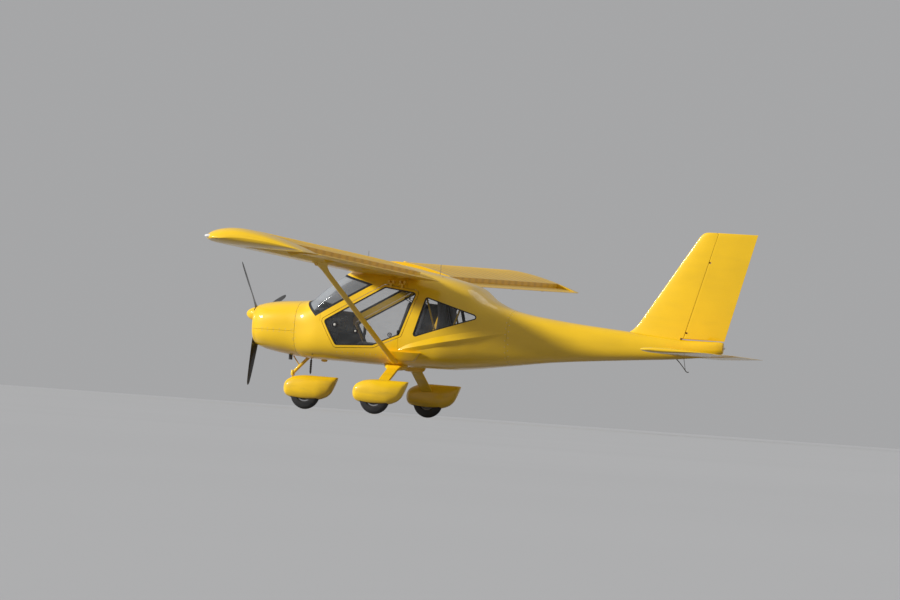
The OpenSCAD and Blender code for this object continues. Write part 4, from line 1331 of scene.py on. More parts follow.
    def root_ribs(self) -> Piece:
        """The solid wing roots on the roof, on both sides, with their inner ends in the roof."""
        wing, shape = self.wing, Shape()
        share, height = wing.section(wing.cut, wing.thickness)
        x = np.clip(share * wing.full_chord, self.plan.roof_front - 0.060 - wing.root[0], wing.chord)
        rib = np.stack([x, height], axis=1)
        for side in Side:
            shape.loft(wing.place(slices(1, *((rib, s) for s in (-0.0005, -0.012, -0.06, -0.096))), side))
        return self.made(shape, "root_ribs", GELCOAT)

    def tail(self) -> None:
        """The tail cone, closed at its end."""
        hull = self.hull
        rings = [hull.ring(s, count=112) for s in hull.stations(self.cabin_rear, self.tail_end, 0.04)]
        last = rings[-1].mean(axis=0)
        rings += [last + (rings[-1] - last) * k + np.array([d, 0, 0]) for k, d in ((0.8, 0.004), (0.4, 0.006))]
        inner = [hull.ring(s, self.tail_skin_t, count=112) for s in hull.stations(self.cabin_rear, 5.18, 0.1)]
        self.add(Shape().loft(inner[::-1] + rings), "tail_cone_skin", GELCOAT, "tail_cone")

    def build(self) -> None:
        """Makes every piece of the fuselage."""
        self.cowlings()
        self.cabin()
        self.tail()


@dataclass
class Glazing(Assembly):
    """Windscreen, door windows and rear side windows, with their dark seals."""

    depth: float = 0.008
    thickness: float = 0.005
    seal_w: float = 0.014
    screen_seal_w: float = 0.026

    def pane(
        self, name: str, node: str, outline: np.ndarray, span: tuple[float, float], y: tuple[float, float],
        seal_w: float, body: str = "airframe",
    ) -> None:
        """A window cut from the hull's form, and the seal round its edge.

        Args:
            name: Name of the piece.
            node: Node that it replaces.
            outline: Side view outline.
            span: First and last station of the wall that it is cut from.
            y: Range across the aircraft.
            seal_w: How far the seal reaches over the pane.
            body: Body that it rides on.
        """
        for ending, finish, out, nodes in (("", CLEAR, 0.0, [node]), ("_seal", SEAL, 0.002, [])):
            wall = self.hull.shell(*span, self.depth - 2 * out, self.depth + self.thickness + out)
            piece = carve(self.made(wall, name + ending, finish, finish), Shape().prism(outline, *y), Cut.KEEP)
            if finish is SEAL:
                carve(piece, Shape().prism(grown(outline, -seal_w), y[0] - 0.1, y[1] + 0.1))
            self.finish(piece, finish, *nodes, body=body)

    def build(self) -> None:
        """Makes every window."""
        plan, seal = self.plan, self.seal_w
        span = (plan.screen_base - 0.03, 1.9)
        self.pane("windscreen_pane", "windscreen", plan.screen, span, (-REACH, REACH), self.screen_seal_w)
        for side in Side:
            word, y = side.word, side.span
            self.pane(
                f"door_pane_{word}", f"door_window_{word}", plan.pane, plan.door_wall, y, seal, f"door_{word}"
            )
            self.pane(f"rear_pane_{word}", f"rear_window_{word}", plan.rear_pane, (2.2, 3.15), y, seal)


@dataclass
class Door(Sided):
    """One door, hinged under the wing."""

    shell_t: float = 0.022
    hinge_z: float = 1.524
    hinge_y: float = 0.5748
    knuckle_r: float = 0.009
    knuckle_l: float = 0.026
    knuckle_gap: float = 0.0006
    hinge_x: tuple[float, float] = (1.960, 2.100)
    handle_at: tuple[float, float] = (2.128, 0.955)
    vents_at: tuple[tuple[float, ...], ...] = ((1.335, 1.005, 0.034), (1.600, 0.945, 0.026))

    def hinges(self, numbers: tuple[int, ...], leaf: Outline) -> Piece:
        """Knuckles of both hinges, with a leaf on each.

        Args:
            numbers: Which knuckles of the three.
            leaf: The leaf's outline across and up from the pin.

        Returns:
            The knuckles.
        """
        shape, pin = Shape(), np.array([-self.hinge_y, self.hinge_z])
        for start in self.hinge_x:
            for number in numbers:
                x = start + number * (self.knuckle_l + self.knuckle_gap)
                for outline in ([(0, 0)], leaf):
                    flat = np.asarray(outline, float) + pin
                    rings = mirrored(slices(0, (flat, x), (flat, x + self.knuckle_l)), self.side)
                    if len(flat) == 1:
                        shape.tube(rings[:, 0], self.knuckle_r, 24)
                    else:
                        shape.loft(rings)
        return self.made(shape, "door_hinge", PAINT)

    def door_leaves(self) -> Piece:
        """The door's own knuckles."""
        r = self.knuckle_r
        return self.hinges((1,), [(-r, -0.050), (0.011, -0.050), (0.011, -0.028), (0, -0.028), (0, 0), (-r, 0)])

    def roof_leaves(self) -> Piece:
        """The roof's knuckles, on either side of the door's."""
        return self.hinges((0, 2), rect(-0.003, 0, 0.041, 0.034))

    def handle(self) -> None:
        """A flat lever and its plate, low on the door's rear edge."""
        (x, z), way = self.handle_at, self.side.value
        y = self.hull.side(x, z)
        plate = rounded(rect(x - 0.012, z - 0.03, x + 0.012, z + 0.03), 0.01)
        layers = ((plate, -0.006), (plate, 0.002), (grown(plate, -0.002), 0.003))
        shape = Shape().loft(slices(1, *((ring, way * (y + out)) for ring, out in layers)))
        shape.tube([(x, way * (y + 0.004), z + 0.018), (x, way * (y + 0.006), z - 0.022)], 0.004, 12)
        self.add(shape, f"door_handle_{self.word}", PLASTIC, body=f"door_{self.word}")

    def vents(self) -> None:
        """Two round air vents in the window, each a dark ring and a turned disc painted pale as a painted
        highlight.
        """
        shape, highlight_discs, way = Shape(), Shape(), self.side.value
        for x, z, r in self.vents_at:
            centre = (x, way * (self.hull.side(x, z) - 0.008), z)
            profile = [(r, -0.008), (r, 0.004), (r * 0.8, 0.006), (r * 0.7, 0.0), (r * 0.7, -0.008)]
            shape.revolve(profile, centre, (0, way, 0), 40)
            disc = [(0.0005, 0.001), (r * 0.3, 0.001), (r * 0.42, 0.0015), (r * 0.42, 0.003), (0.0005, 0.005)]
            highlight_discs.revolve(disc, centre, (0.25, way, 0.1), 32)
        # The pale centres are a painted highlight on each vent, not a pale part.
        parts = [self.made(shape, "ring", PLASTIC), self.made(highlight_discs, "disc", DIAL_WHITE_AND_HIGHLIGHT)]
        self.finish(joined(f"door_vent_{self.word}", parts), PLASTIC, body=f"door_{self.word}")

    def build(self) -> None:
        """Makes the door's frame and fittings."""
        plan, name, (y0, y1) = self.plan, f"door_{self.word}", self.side.span
        panel = self.made(self.hull.shell(*plan.door_wall, 0.0, self.shell_t), "panel", GELCOAT, GELCOAT)
        edge = rounded(grown(plan.doorway, -plan.door_gap), plan.door_corner)
        carve(panel, Shape().prism(edge, y0, y1), Cut.KEEP)
        carve(panel, Shape().prism(plan.pane, y0 - 0.1, y1 + 0.1))
        door = joined(f"door_frame_{self.word}", [panel, self.door_leaves()])
        self.finish(door, GELCOAT, name, body=name)
        self.handle()
        self.vents()


@dataclass
class Wing(Sided):
    """One wing: metal nose, fabric over ribs, rounded tip, flaperon and its brackets."""

    spar: float = 0.30
    ribs: int = 16
    sag_below: float = 0.006
    sag_above: float = 0.0035
    brackets: tuple[float, ...] = (0.06, 0.36, 0.66, 0.95)
    flaperon_chord: float = 0.285
    flaperon_ribs: int = 18
    flaperon_sag: float = 0.0016
    nose_r: float = 0.020
    move_gap: float = 0.007
    drop: float = 0.012
    inner: float = 0.022
    bracket_t: float = 0.006
    pin_r: float = 0.005
    tie_r: float = 0.010
    tip_rows: tuple[tuple[float, ...], ...] = (
        (0, 1, 0), (0.3, 0.97, 0.010), (0.58, 0.85, 0.042), (0.8, 0.66, 0.092), (0.94, 0.42, 0.150),
        (1, 0.16, 0.215),
    )

    @property
    def hinge(self) -> tuple[float, float]:
        """The flaperon's hinge: distance aft and height in the wing's frame."""
        wing = self.wing
        return wing.chord + self.nose_r + self.move_gap, float(wing.mean(wing.cut)) - self.drop - 0.020

    @property
    def flaperon_l(self) -> float:
        """Length of the flaperon."""
        return self.wing.panel - self.inner - self.move_gap

    def ribbed(self, outline: Outline, *spans: float) -> np.ndarray:
        """Rings of a side outline of the wing's frame at places along the span."""
        return self.wing.place(slices(1, *((outline, s) for s in spans)), self.side)

    def skin(self) -> None:
        """The straight part of the wing, its fabric drawn in between the ribs."""
        wing = self.wing
        share, height = wing.section(wing.cut, wing.thickness, 56)
        upper = np.arange(len(share)) < len(share) // 2
        along = np.clip((share - self.spar) / (wing.cut - self.spar), 0, 1)
        depth = np.where(upper, -self.sag_above, self.sag_below) * np.sin(math.pi * along) ** 0.45
        rings = []
        for s in np.linspace(0, wing.panel, self.ribs * 10 + 1):
            phase = s / wing.panel * self.ribs % 1.0
            dip = (1 - abs(2 * phase - 1) ** 2.6) ** 0.8
            rings.extend(self.ribbed(np.stack([share * wing.full_chord, height + depth * dip], axis=1), s))
        panel = self.made(Shape().loft(rings), f"wing_skin_{self.word}", GELCOAT, FABRIC)
        limit = self.spar * wing.full_chord * math.cos(wing.incidence) + wing.root[0] + Shape.nose_x
        for face in panel.data.polygons:
            face.material_index = int(face.center.x > limit + 0.004)
        self.finish(panel, FABRIC, f"wing_{self.word}")

    def tapes(self) -> None:
        """The reinforcing tapes over the ribs, above and below."""
        wing, shape = self.wing, Shape()
        share = np.linspace(self.spar + 0.004, wing.cut - 0.004, 22)
        strip = ((-0.014, -0.001), (-0.012, 0.0004), (0.012, 0.0004), (0.014, -0.001))
        for sign in (1, -1):
            line = zip(share * wing.full_chord, wing.skin(share, sign) + sign * 0.0004)
            shape.loft([wing.place([(x, s, z + sign * r) for s, r in strip], self.side) for x, z in line])
        tape = self.made(shape, f"rib_tapes_{self.word}", FABRIC)
        ends = wing.place([(0, 0, 0), (0, wing.panel / self.ribs, 0)], self.side)
        step = (ends[1] - ends[0]).tolist()
        tape.data.transform(Matrix.Translation(Vector(step)))
        self.craft.repeat.grow(tape, Count=self.ribs - 1, Step=tuple(step), Material=self.craft.paint[FABRIC])
        self.finish(shade(tape), FABRIC)

    def tip_cap(self) -> None:
        """The rounded tip."""
        wing, rings = self.wing, []
        for t in 1 - (1 - np.linspace(0, 1, 22)) ** 1.6:
            thin, back = read(self.tip_rows, t)
            share, height = wing.section(1.0, wing.thickness * thin)
            x = back + share * (wing.full_chord - back - 0.060 * t * t)
            rings.extend(self.ribbed(np.stack([x, height], axis=1), wing.panel + wing.tip * t))
        self.add(Shape().loft(rings), f"wing_tip_cap_{self.word}", GELCOAT, f"wing_tip_{self.word}")

    def bracket_ring(self) -> list[tuple[float, float]]:
        """Side outline of a flaperon bracket, in the wing's frame."""
        wing, (x, drop) = self.wing, self.hinge
        low, full = float(wing.skin(0.66, -1)), wing.full_chord
        return [
            (0.66 * full, low + 0.004), (0.70 * full, low - 0.026), (x + 0.006, drop - 0.012),
            (x + 0.012, drop),
            (x + 0.004, drop + 0.011), (wing.chord - 0.008, drop + 0.012),
            (wing.chord - 0.030, float(wing.mean(wing.cut))),
        ]

    def fittings(self) -> None:
        """Flaperon brackets with their pins, and the tie-down eye."""
        wing, shape, (x, z) = self.wing, Shape(), self.hinge
        outline = rounded(self.bracket_ring(), 0.004, 3)
        half, reach = self.bracket_t / 2, self.bracket_t / 2 + 2 * self.move_gap
        for share in self.brackets:
            middle = self.inner + share * self.flaperon_l
            shape.loft(self.ribbed(outline, middle - half, middle + half))
            shape.tube(self.ribbed([(x, z)], middle - reach, middle + reach)[:, 0], self.pin_r, 16)
        s, eye, rings = (
            2.200 - wing.root[1] + 0.150, (0.36 * wing.full_chord, float(wing.skin(0.36, -1)) - 0.024), []
        )
        for radius, half in ((2, 0.004), (1, 0.004), (1, -0.004), (2, -0.004)):
            circle = [
                (radius * self.tie_r * math.cos(a), radius * self.tie_r * math.sin(a)) for a in turns(32)
            ]
            rings.extend(self.ribbed(np.array(circle) + eye, s + half))
        shape.loft(rings, loop=True)
        self.add(shape, f"wing_fittings_{self.word}", PAINT)

    def flaperon_section(self) -> np.ndarray:
        """Outline of the flaperon about its hinge."""
        c, r = self.flaperon_chord, self.nose_r
        turn = np.radians(np.linspace(94, 266, 25))
        nose = np.stack([r * np.cos(turn), r * np.sin(turn)], axis=1)
        x = np.linspace(0.02, 1, 18)[1:]
        below = smooth_curve(
            [0, 0.3, 0.7, 1 - r / c], [-r, -0.8 * r, -0.32 * r, -0.002], np.clip(x, 0, 1 - r / c)
        )
        above = smooth_curve(
            [0, 0.25, 0.6, 1 - r / c], [r, 1.02 * r, 0.62 * r, 0.002], np.clip(x, 0, 1 - r / c)
        )
        at = np.clip(x * c, 0, c - r)
        keep = np.concatenate([[True], np.diff(at) > 1e-6])
        lower, upper = (np.stack([at, half], axis=1)[keep] for half in (below, above))
        return np.concatenate([nose, lower, upper[::-1]])

    def flaperon(self) -> None:
        """The flaperon, its fabric drawn in between ribs, with slots at the brackets."""
        hinge, outline, rings = np.array(self.hinge), self.flaperon_section(), []
        inside = (outline[:, 0] > self.nose_r) & (outline[:, 0] < self.flaperon_chord * 0.9)
        for s in np.linspace(self.inner, self.inner + self.flaperon_l, self.flaperon_ribs * 8 + 1):
            phase = (s - self.inner) / self.flaperon_l * self.flaperon_ribs % 1.0
            dip = self.flaperon_sag * (1 - abs(2 * phase - 1) ** 2.6) * inside * np.sign(outline[:, 1])
            rings.extend(self.ribbed(hinge + outline - np.insert(dip[:, None], 0, 0, axis=1), s))
        surface = self.made(Shape().loft(rings), f"flaperon_skin_{self.word}", FABRIC)
        block = hinge + rect(-0.040, -0.040, self.nose_r + 0.008, 0.040)
        half = self.move_gap + self.bracket_t / 2
        for share in self.brackets:
            middle = self.inner + share * self.flaperon_l
            carve(surface, Shape().loft(self.ribbed(block, middle - half, middle + half)))
        name = f"flaperon_{self.word}"
        self.finish(surface, FABRIC, name, body=name)

    def rivet_rows(self) -> None:
        """Rivets along the spar and the tip's joint."""
        wing, lines = self.wing, []
        spans = np.linspace(0.02, wing.panel - 0.02, 30)
        for sign in (1, -1):
            for share in (self.spar - 0.008, 0.02 + self.spar * 0.4):
                z, ahead = float(wing.skin(share, sign)), float(wing.skin(share - 0.01, sign))
                points = self.ribbed([(share * wing.full_chord, z)], *spans)[:, 0]
                slope = (z - ahead) / (0.01 * wing.full_chord)
                base, tip = wing.place([(0, 0, 0), (-slope * sign, 0, sign)], self.side)
                lines.append((points, np.tile(unit(tip - base), (len(points), 1))))
        name, paint = f"wing_rivets_{self.word}", self.craft.paint[PAINT]
        self.finish(self.craft.rivets.rows(name, lines, paint, spacing=0.045, radius=0.0032), PAINT)

    def build(self) -> None:
        """Makes the whole wing."""
        self.skin()
        self.tapes()
        self.tip_cap()
        self.fittings()
        self.flaperon()
        self.rivet_rows()


@dataclass
class Strut(Sided):
    """One wing strut, with its fan shaped fairing above and its shoe below."""

    chord: float = 0.078
    thickness: float = 0.028
    foot: tuple[float, float, float] = (2.045, -0.585, 0.684)
    top: tuple[float, float] = (1.710, 2.240)
    flare: float = 0.250
    run_in: float = 0.150
    flare_rows: tuple[tuple[float, ...], ...] = (
        (0, 0.99, 1), (0.45, 1.5, 1.15), (0.8, 2.7, 1.3), (0.93, 3.6, 1.42)
    )
    shoe_in: tuple[tuple[float, ...], ...] = (
        (-0.060, 0.200, -0.076), (0.290, 0.200, -0.062), (0.380, 0.200, 0.054), (-0.056, 0.200, 0.058),
    )
    shoe_out: tuple[tuple[float, ...], ...] = (
        (-0.050, 0.086, -0.048), (0.262, 0.092, -0.044), (0.372, 0.008, 0.054), (-0.046, -0.010, 0.056),
    )

    def ends(self) -> tuple[np.ndarray, np.ndarray]:
        """The strut's foot and top, on the left."""
        wing, (aft, out) = self.wing, self.top
        high = wing.root[2] - (aft - wing.root[0]) * math.tan(wing.incidence)
        high += (out - wing.root[1]) * math.tan(wing.dihedral) + float(wing.skin(0.3, -1))
        return np.array(self.foot), np.array([aft, -out, high + 0.026])

    def build(self) -> None:
        """Makes the strut."""
        foot, top = self.ends()
        along = unit(top - foot)
        start, rings = top - along * self.flare, []
        for t in np.linspace(0, 0.93, 16):
            wide, thick = read(self.flare_rows, t)
            section = stream(self.chord * wide, self.thickness * thick)
            rings.append(start + along * self.flare * t + np.insert(section, 2, 0.0, axis=1))
        outline = stream(self.chord, self.thickness)
        bar = squared(outline, along, (foot - along * self.run_in, top - along * 0.02))
        shoe = [foot + np.array(ring) for ring in (self.shoe_in, self.shoe_out)]
        bar, shoe, flare = (
            self.made(Shape().loft(mirrored(part, self.side)), "part", PAINT) for part in (bar, shoe, rings)
        )
        for part in (bar, bevelled(shoe, 0.007)):
            carve(part, self.hull.solid(1.9, 2.5, 0.003))
        name = f"strut_skin_{self.word}"
        self.finish(joined(name, [bar, shoe, flare]), PAINT, f"strut_{self.word}")


@dataclass
class Tail(Assembly):
    """Fin, rudder, stabilator and skid."""

    length: float = 6.205
    top_z: float = 2.345
    root_z: float = 1.085
    thickness: float = 0.084
    gap: float = 0.007
    hinge_slope: float = 0.2659
    le_slope: float = 0.636
    te_slope: float = 0.2536
    rudder_low: float = 1.108
    hinges: tuple[float, float] = (1.180, 2.000)
    corner: float = 0.062
    stab_half: float = 1.225
    stab_chord: float = 0.800
    stab_le: float = 5.232
    stab_z: float = 0.945
    stab_t: float = 0.070
    stab_root: float = 0.128
    tube_r: float = 0.022

    def hinge_at(self, z: float) -> float:
        """Station of the rudder's hinge at a height."""
        return self.length - 0.791 + (z - self.root_z) * self.hinge_slope

    def half_at(self, z: float) -> float:
        """Half thickness of the fin at a height."""
        return self.thickness / 2 * (1 - 0.42 * (z - self.root_z) / (self.top_z - self.root_z))

    def block(self, z: float, outline: Outline, half: float) -> list[list[np.ndarray]]:
        """Rings of a block round the rudder's hinge at a height, square to the hinge."""
        middle, up = np.array([self.hinge_at(z), 0, z]), self.up
        aft = np.array([up[2], 0, -up[0]])
        return [[middle + aft * a + np.array([0, y, 0]) + up * d for a, y in outline] for d in (-half, half)]

    @property
    def up(self) -> np.ndarray:
        """Direction of the rudder's hinge."""
        lean = math.atan(self.hinge_slope)
        return np.array([math.sin(lean), 0, math.cos(lean)])

    def fin(self) -> None:
        """The fin, with a small fillet at its root and a rounded upper corner."""
        low = self.top_z - self.corner
        bend = self.top_z - self.corner * (1 - np.sin(np.linspace(0.1, math.pi / 2, 14)))
        rings, s = [], shares(26)
        for z in np.concatenate([np.linspace(1.06, 1.26, 16), np.linspace(1.28, low, 16), bend]):
            down, half = max(0.0, self.top_z - z), self.half_at(z)
            places, backs = [0, 0.002, 0.010, 0.030, self.corner], [0.066, 0.052, 0.028, 0.009, 0]
            back = float(smooth_curve(places, backs, min(down, self.corner)))
            fillet = 0.085 * math.exp(-max(0.0, z - 1.125) / 0.040)
            x0 = self.length - 1.455 + (z - self.root_z) * self.le_slope + back - fillet
            x1 = self.hinge_at(z) - 0.92 * half - self.gap
            edge = half * np.sin(math.pi / 2 * s**0.62) * min(1.0, 0.6 + 0.4 * down / 0.006)
            rings += slices(2, (both_sides(x0 + (x1 - x0) * s, edge), z))
        parts = [self.made(Shape().loft(rings), "fin_skin", GELCOAT), self.lips(), self.brackets()]
        self.finish(joined("fin_skin", parts), GELCOAT, "fin")

    def lips(self) -> Piece:
        """The fin's skins, carried aft over the rudder's rounded front."""
        shape = Shape()
        for side in Side:
            rings = []
            for z in np.linspace(self.rudder_low + 0.012, self.top_z - 0.006, 24):
                half, hinge = self.half_at(z), self.hinge_at(z)
                front, back = hinge - 0.92 * half - self.gap - 0.004, hinge - 0.33 * half
                outline = ((front, 0.955), (back, 0.960), (back, 0.990), (front, 0.999))
                rings.append([(x, side.value * y * half, z) for x, y in outline])
            shape.loft(rings)
        return self.made(shape, "fin_lips", GELCOAT)

    def brackets(self) -> Piece:
        """The fin's two hinge brackets and their pins."""
        shape = Shape()
        for z in self.hinges:
            middle, back = np.array([self.hinge_at(z), 0, z]), 0.92 * self.half_at(z) + self.gap + 0.008
            outline = [
                (-back, -0.009), (0.006, -0.009), (0.010, -0.004),
                (0.010, 0.004), (0.006, 0.009), (-back, 0.009),
            ]
            shape.loft(self.block(z, outline, 0.003))
            shape.tube([middle - self.up * 0.017, middle + self.up * 0.017], 0.005, 16)
        return self.made(shape, "rudder_brackets", PAINT)

    def rudder(self) -> None:
        """The rudder, with its slots at the brackets."""
        low, top, rings = self.rudder_low, self.top_z, []
        for z in np.concatenate([[low], np.linspace(1.116, top - 0.01, 28), [top - 0.003, top]]):
            hinge, r = self.hinge_at(z), 0.92 * self.half_at(z)
            chord = self.length + (z - top) * self.te_slope - hinge
            turn, x = np.radians(np.linspace(96, 264, 17)), np.linspace(0.03, 1, 16)
            y = smooth_curve([0, 0.45, 1], [r, 0.72 * r, 0.002], x)
            nose = np.stack([r * np.cos(turn), r * np.sin(turn)], axis=1)
            lower, upper = (np.stack([x * chord, half], axis=1) for half in (-y, y))
            shrink = 1 - 0.25 * max(0.0, 1 - min(z - low, top - z) / 0.006)
            flat = np.concatenate([nose, lower, upper[::-1]]) * [1, shrink] + [hinge, 0]
            rings += slices(2, (flat, z))
        rudder = self.made(Shape().loft(rings), "rudder_skin", GELCOAT)
        for z in self.hinges:
            carve(rudder, Shape().loft(self.block(z, rect(-0.084, -0.084, 0.018, 0.084), 0.010)))
        self.finish(rudder, GELCOAT, "rudder", body="rudder")

    def stabilator(self) -> None:
        """The one-piece tailplane on its tube."""
        root, half, chord, shape = self.stab_root, self.stab_half, self.stab_chord, Shape()
        table = [(root, 0, 0, 1), (half - 0.190, 0, 0, 0.94), (half - 0.070, 0.026, 0.008, 0.8),
                 (half - 0.022, 0.072, 0.022, 0.6), (half, 0.140, 0.044, 0.3)]
        spans = np.concatenate(
            [np.linspace(root, half - 0.2, 24), half - 0.19 * (1 - np.linspace(0, 1, 18)) ** 1.5]
        )
        for side in Side:
            rings = []
            for y in spans:
                front, rear, thin = read(table, y)
                edge = min(1.0, 0.8 + (y - root) / 0.03) * min(1.0, 0.55 + (half - y) / 0.008)
                section = stream(chord - front - rear, self.stab_t * thin * edge)
                shift = [0.4 * (chord - front - rear) + self.stab_le + front, self.stab_z]
                rings += slices(1, (section + shift, side.value * y))
            shape.loft(rings)
        pivot, reach = self.stab_le + 0.26 * chord, root + 0.004
        shape.tube([(pivot, -reach, self.stab_z), (pivot, reach, self.stab_z)], self.tube_r, 32)
        self.add(shape, "stabilator_skin", GELCOAT, "stabilator", body="stabilator")

    def build(self) -> None:
        """Makes the tail."""
        self.fin()
        self.rudder()
        self.stabilator()


@dataclass
class Propeller(Assembly):
    """Three blades on a hub, and the spinner over it."""

    radius: float = 0.860
    count: int = 3
    centre: tuple[float, float, float] = (0.150, 0.0, 1.076)
    first: float = 47.0
    hub_r: float = 0.064
    hub_l: float = 0.052
    hub_bore: float = 0.0243
    spinner_r: float = 0.092
    spinner_base: float = 0.191
    spinner_wall: float = 0.005
    blade_hole: float = 0.036
    blade: tuple[tuple[float, ...], ...] = (
        (0.075, 0.040, 0.040, 54), (0.09, 0.046, 0.040, 52), (0.16, 0.066, 0.026, 44), (0.28, 0.092, 0.018, 34),
        (0.45, 0.098, 0.013, 26), (0.65, 0.088, 0.010, 20), (0.82, 0.072, 0.008, 17), (0.94, 0.052, 0.006, 15),
        (0.985, 0.034, 0.005, 14), (1, 0.012, 0.003, 14),
    )

    def out(self, number: int) -> np.ndarray:
        """Direction of a blade."""
        turn = math.radians(self.first + number * 360 / self.count)
        return np.array([0, -math.sin(turn), math.cos(turn)])

    def blades(self) -> None:
        """The blades, copied round from one, with the hub and the blade roots."""
        out, rings = self.out(0), []
        across = np.array([0, out[2], -out[1]])
        for share in np.concatenate(
            [np.linspace(0.075, 0.93, 44), 1 - 0.07 * (1 - np.linspace(0.05, 1, 12)) ** 1.8]
        ):
            chord, thick, pitch = read(self.blade, share)
            (x, y), lean = stream(chord, thick, 16).T, math.radians(pitch)
            ahead = np.outer(y * math.cos(lean) + x * math.sin(lean), [1, 0, 0])
            aside = np.outer(y * math.sin(lean) - x * math.cos(lean), across)
            rings.append(self.centre + out * share * self.radius + ahead + aside)
        root = self.centre + np.outer([self.hub_r - 0.014, 0.16 * self.radius - 0.012], out)
        blade = self.made(Shape().loft(rings).tube(root, [0.020, 0.019], 24), "blades", BLADE)
        x, y, z = self.centre
        self.craft.spin.grow(
            blade, Count=self.count, Centre=(x + Shape.nose_x, y, z), Material=self.craft.paint[BLADE]
        )
        r, half, bore = self.hub_r, self.hub_l / 2, self.hub_bore
        profile = [
            (bore, -half), (r - 0.004, -half), (r, -half + 0.004),
            (r, half - 0.004), (r - 0.004, half), (bore, half),
        ]
        hub = self.made(Shape().revolve(profile, self.centre, (1, 0, 0)), "hub", DARK_METAL)
        self.finish(joined("propeller_blades", [blade, hub]), BLADE, "propeller", body="propeller")

    def spinner(self) -> None:
        """The spinner, a round nosed shell with a hole for each blade, and its back plate."""
        wall, base, r, (x, _, z) = self.spinner_wall, self.spinner_base, self.spinner_r, self.centre
        turn = np.linspace(0, math.pi / 2, 36)
        outer = np.stack([r * np.sin(turn), -base * np.cos(turn)], axis=1)
        inner = np.stack([(r - wall) * np.sin(turn), -(base - 0.012) * np.cos(turn)], axis=1)[::-1]
        outer[0, 0] = inner[-1, 0] = 0.0002
        shell = Shape().revolve(np.concatenate([outer, inner]), (base, 0, z), (1, 0, 0))
        spinner = self.made(shell, "spinner_skin", GELCOAT)
        for number in range(self.count):
            path = self.centre + np.outer([self.hub_r + 0.004, self.hub_r + 0.064], self.out(number))
            carve(spinner, Shape().tube(path, self.blade_hole, 40))
        plate = rect(0.029, 0, r - wall + 0.001, 0.005)
        back = Shape().revolve(plate, (x + self.hub_l / 2 + 0.0003, 0, z), (1, 0, 0))
        parts = [spinner, self.made(back, "plate", BARE_METAL)]
        self.finish(joined("spinner_skin", parts), GELCOAT, "spinner", body="propeller")

    def build(self) -> None:
        """Makes the propeller."""
        self.blades()
        self.spinner()


@dataclass
class Wheel(Assembly):
    """One wheel, its tyre and rim."""

    name: str
    body: str
    station: float
    y: float
    tyre_r: float = 0.182
    tyre_w: float = 0.096
    rim_r: float = 0.092
    axle_r: float = 0.010
    bolts: int = 6
    bolt_circle: float = 0.050
    grooves: tuple[float, ...] = (0.0, 0.013, 0.026)
    groove_w: float = 0.0016
    groove_deep: float = 0.0035

    def tyre_profile(self) -> np.ndarray:
        """Half round tread with grooves, bulged sidewalls and beads."""
        half, bulge = self.tyre_w / 2, self.tyre_w * 0.55
        points = []
        for turn in np.radians(np.linspace(-62, 62, 125)):
            x = bulge * math.sin(turn)
            groove = self.groove_deep if any(abs(abs(x) - g) < self.groove_w for g in self.grooves) else 0.0
            points.append((self.tyre_r - bulge + bulge * math.cos(turn) - groove, max(-half, min(half, x))))
        low = self.rim_r + 0.0004
        return np.array(
            points + [(low + 0.012, half), (low, half - 0.010), (low, -half + 0.010), (low + 0.012, -half)]
        )

    def build(self) -> None:
        """Makes the tyre and the rim."""
        centre = (self.station, self.y, self.tyre_r)
        tyre = Shape().revolve(self.tyre_profile(), centre, (0, 1, 0), 120)
        self.add(tyre, f"{self.name}_tyre_skin", RUBBER, self.node("tyre"), body=self.body)
        r, a = self.rim_r, self.axle_r
        side = [
            (a + 0.0003, 0.034), (a + 0.018, 0.034), (a + 0.020, 0.012), (a + 0.026, 0.009),
            (r - 0.026, 0.011), (r - 0.018, 0.016), (r - 0.014, 0.034), (r - 0.010, 0.036), (r, 0.036),
        ]
        hub = Shape().revolve(side + [(x, -y) for x, y in reversed(side)], centre, (0, 1, 0), 96)
        if self.y:
            disc = [(0.024, 0.033), (0.030, 0.038), (0.070, 0.038), (0.070, 0.042), (0.024, 0.042)]
            hub.revolve(disc, centre, (0, -math.copysign(1.0, self.y), 0), 64)
        for turn in turns(self.bolts):
            bolt = np.array(centre) + self.bolt_circle * np.array([math.cos(turn), 0, math.sin(turn)])
            hub.tube([bolt - [0, 0.019, 0], bolt + [0, 0.019, 0]], 0.005, 6)
        self.add(hub, f"{self.name}_rim_skin", TRIM, self.node("rim"), body=self.body)

    def node(self, part: str) -> str:
        """The node of one of the wheel's parts."""
        stem, *ending = self.name.split("_")
        return "_".join([stem, part] + ending)


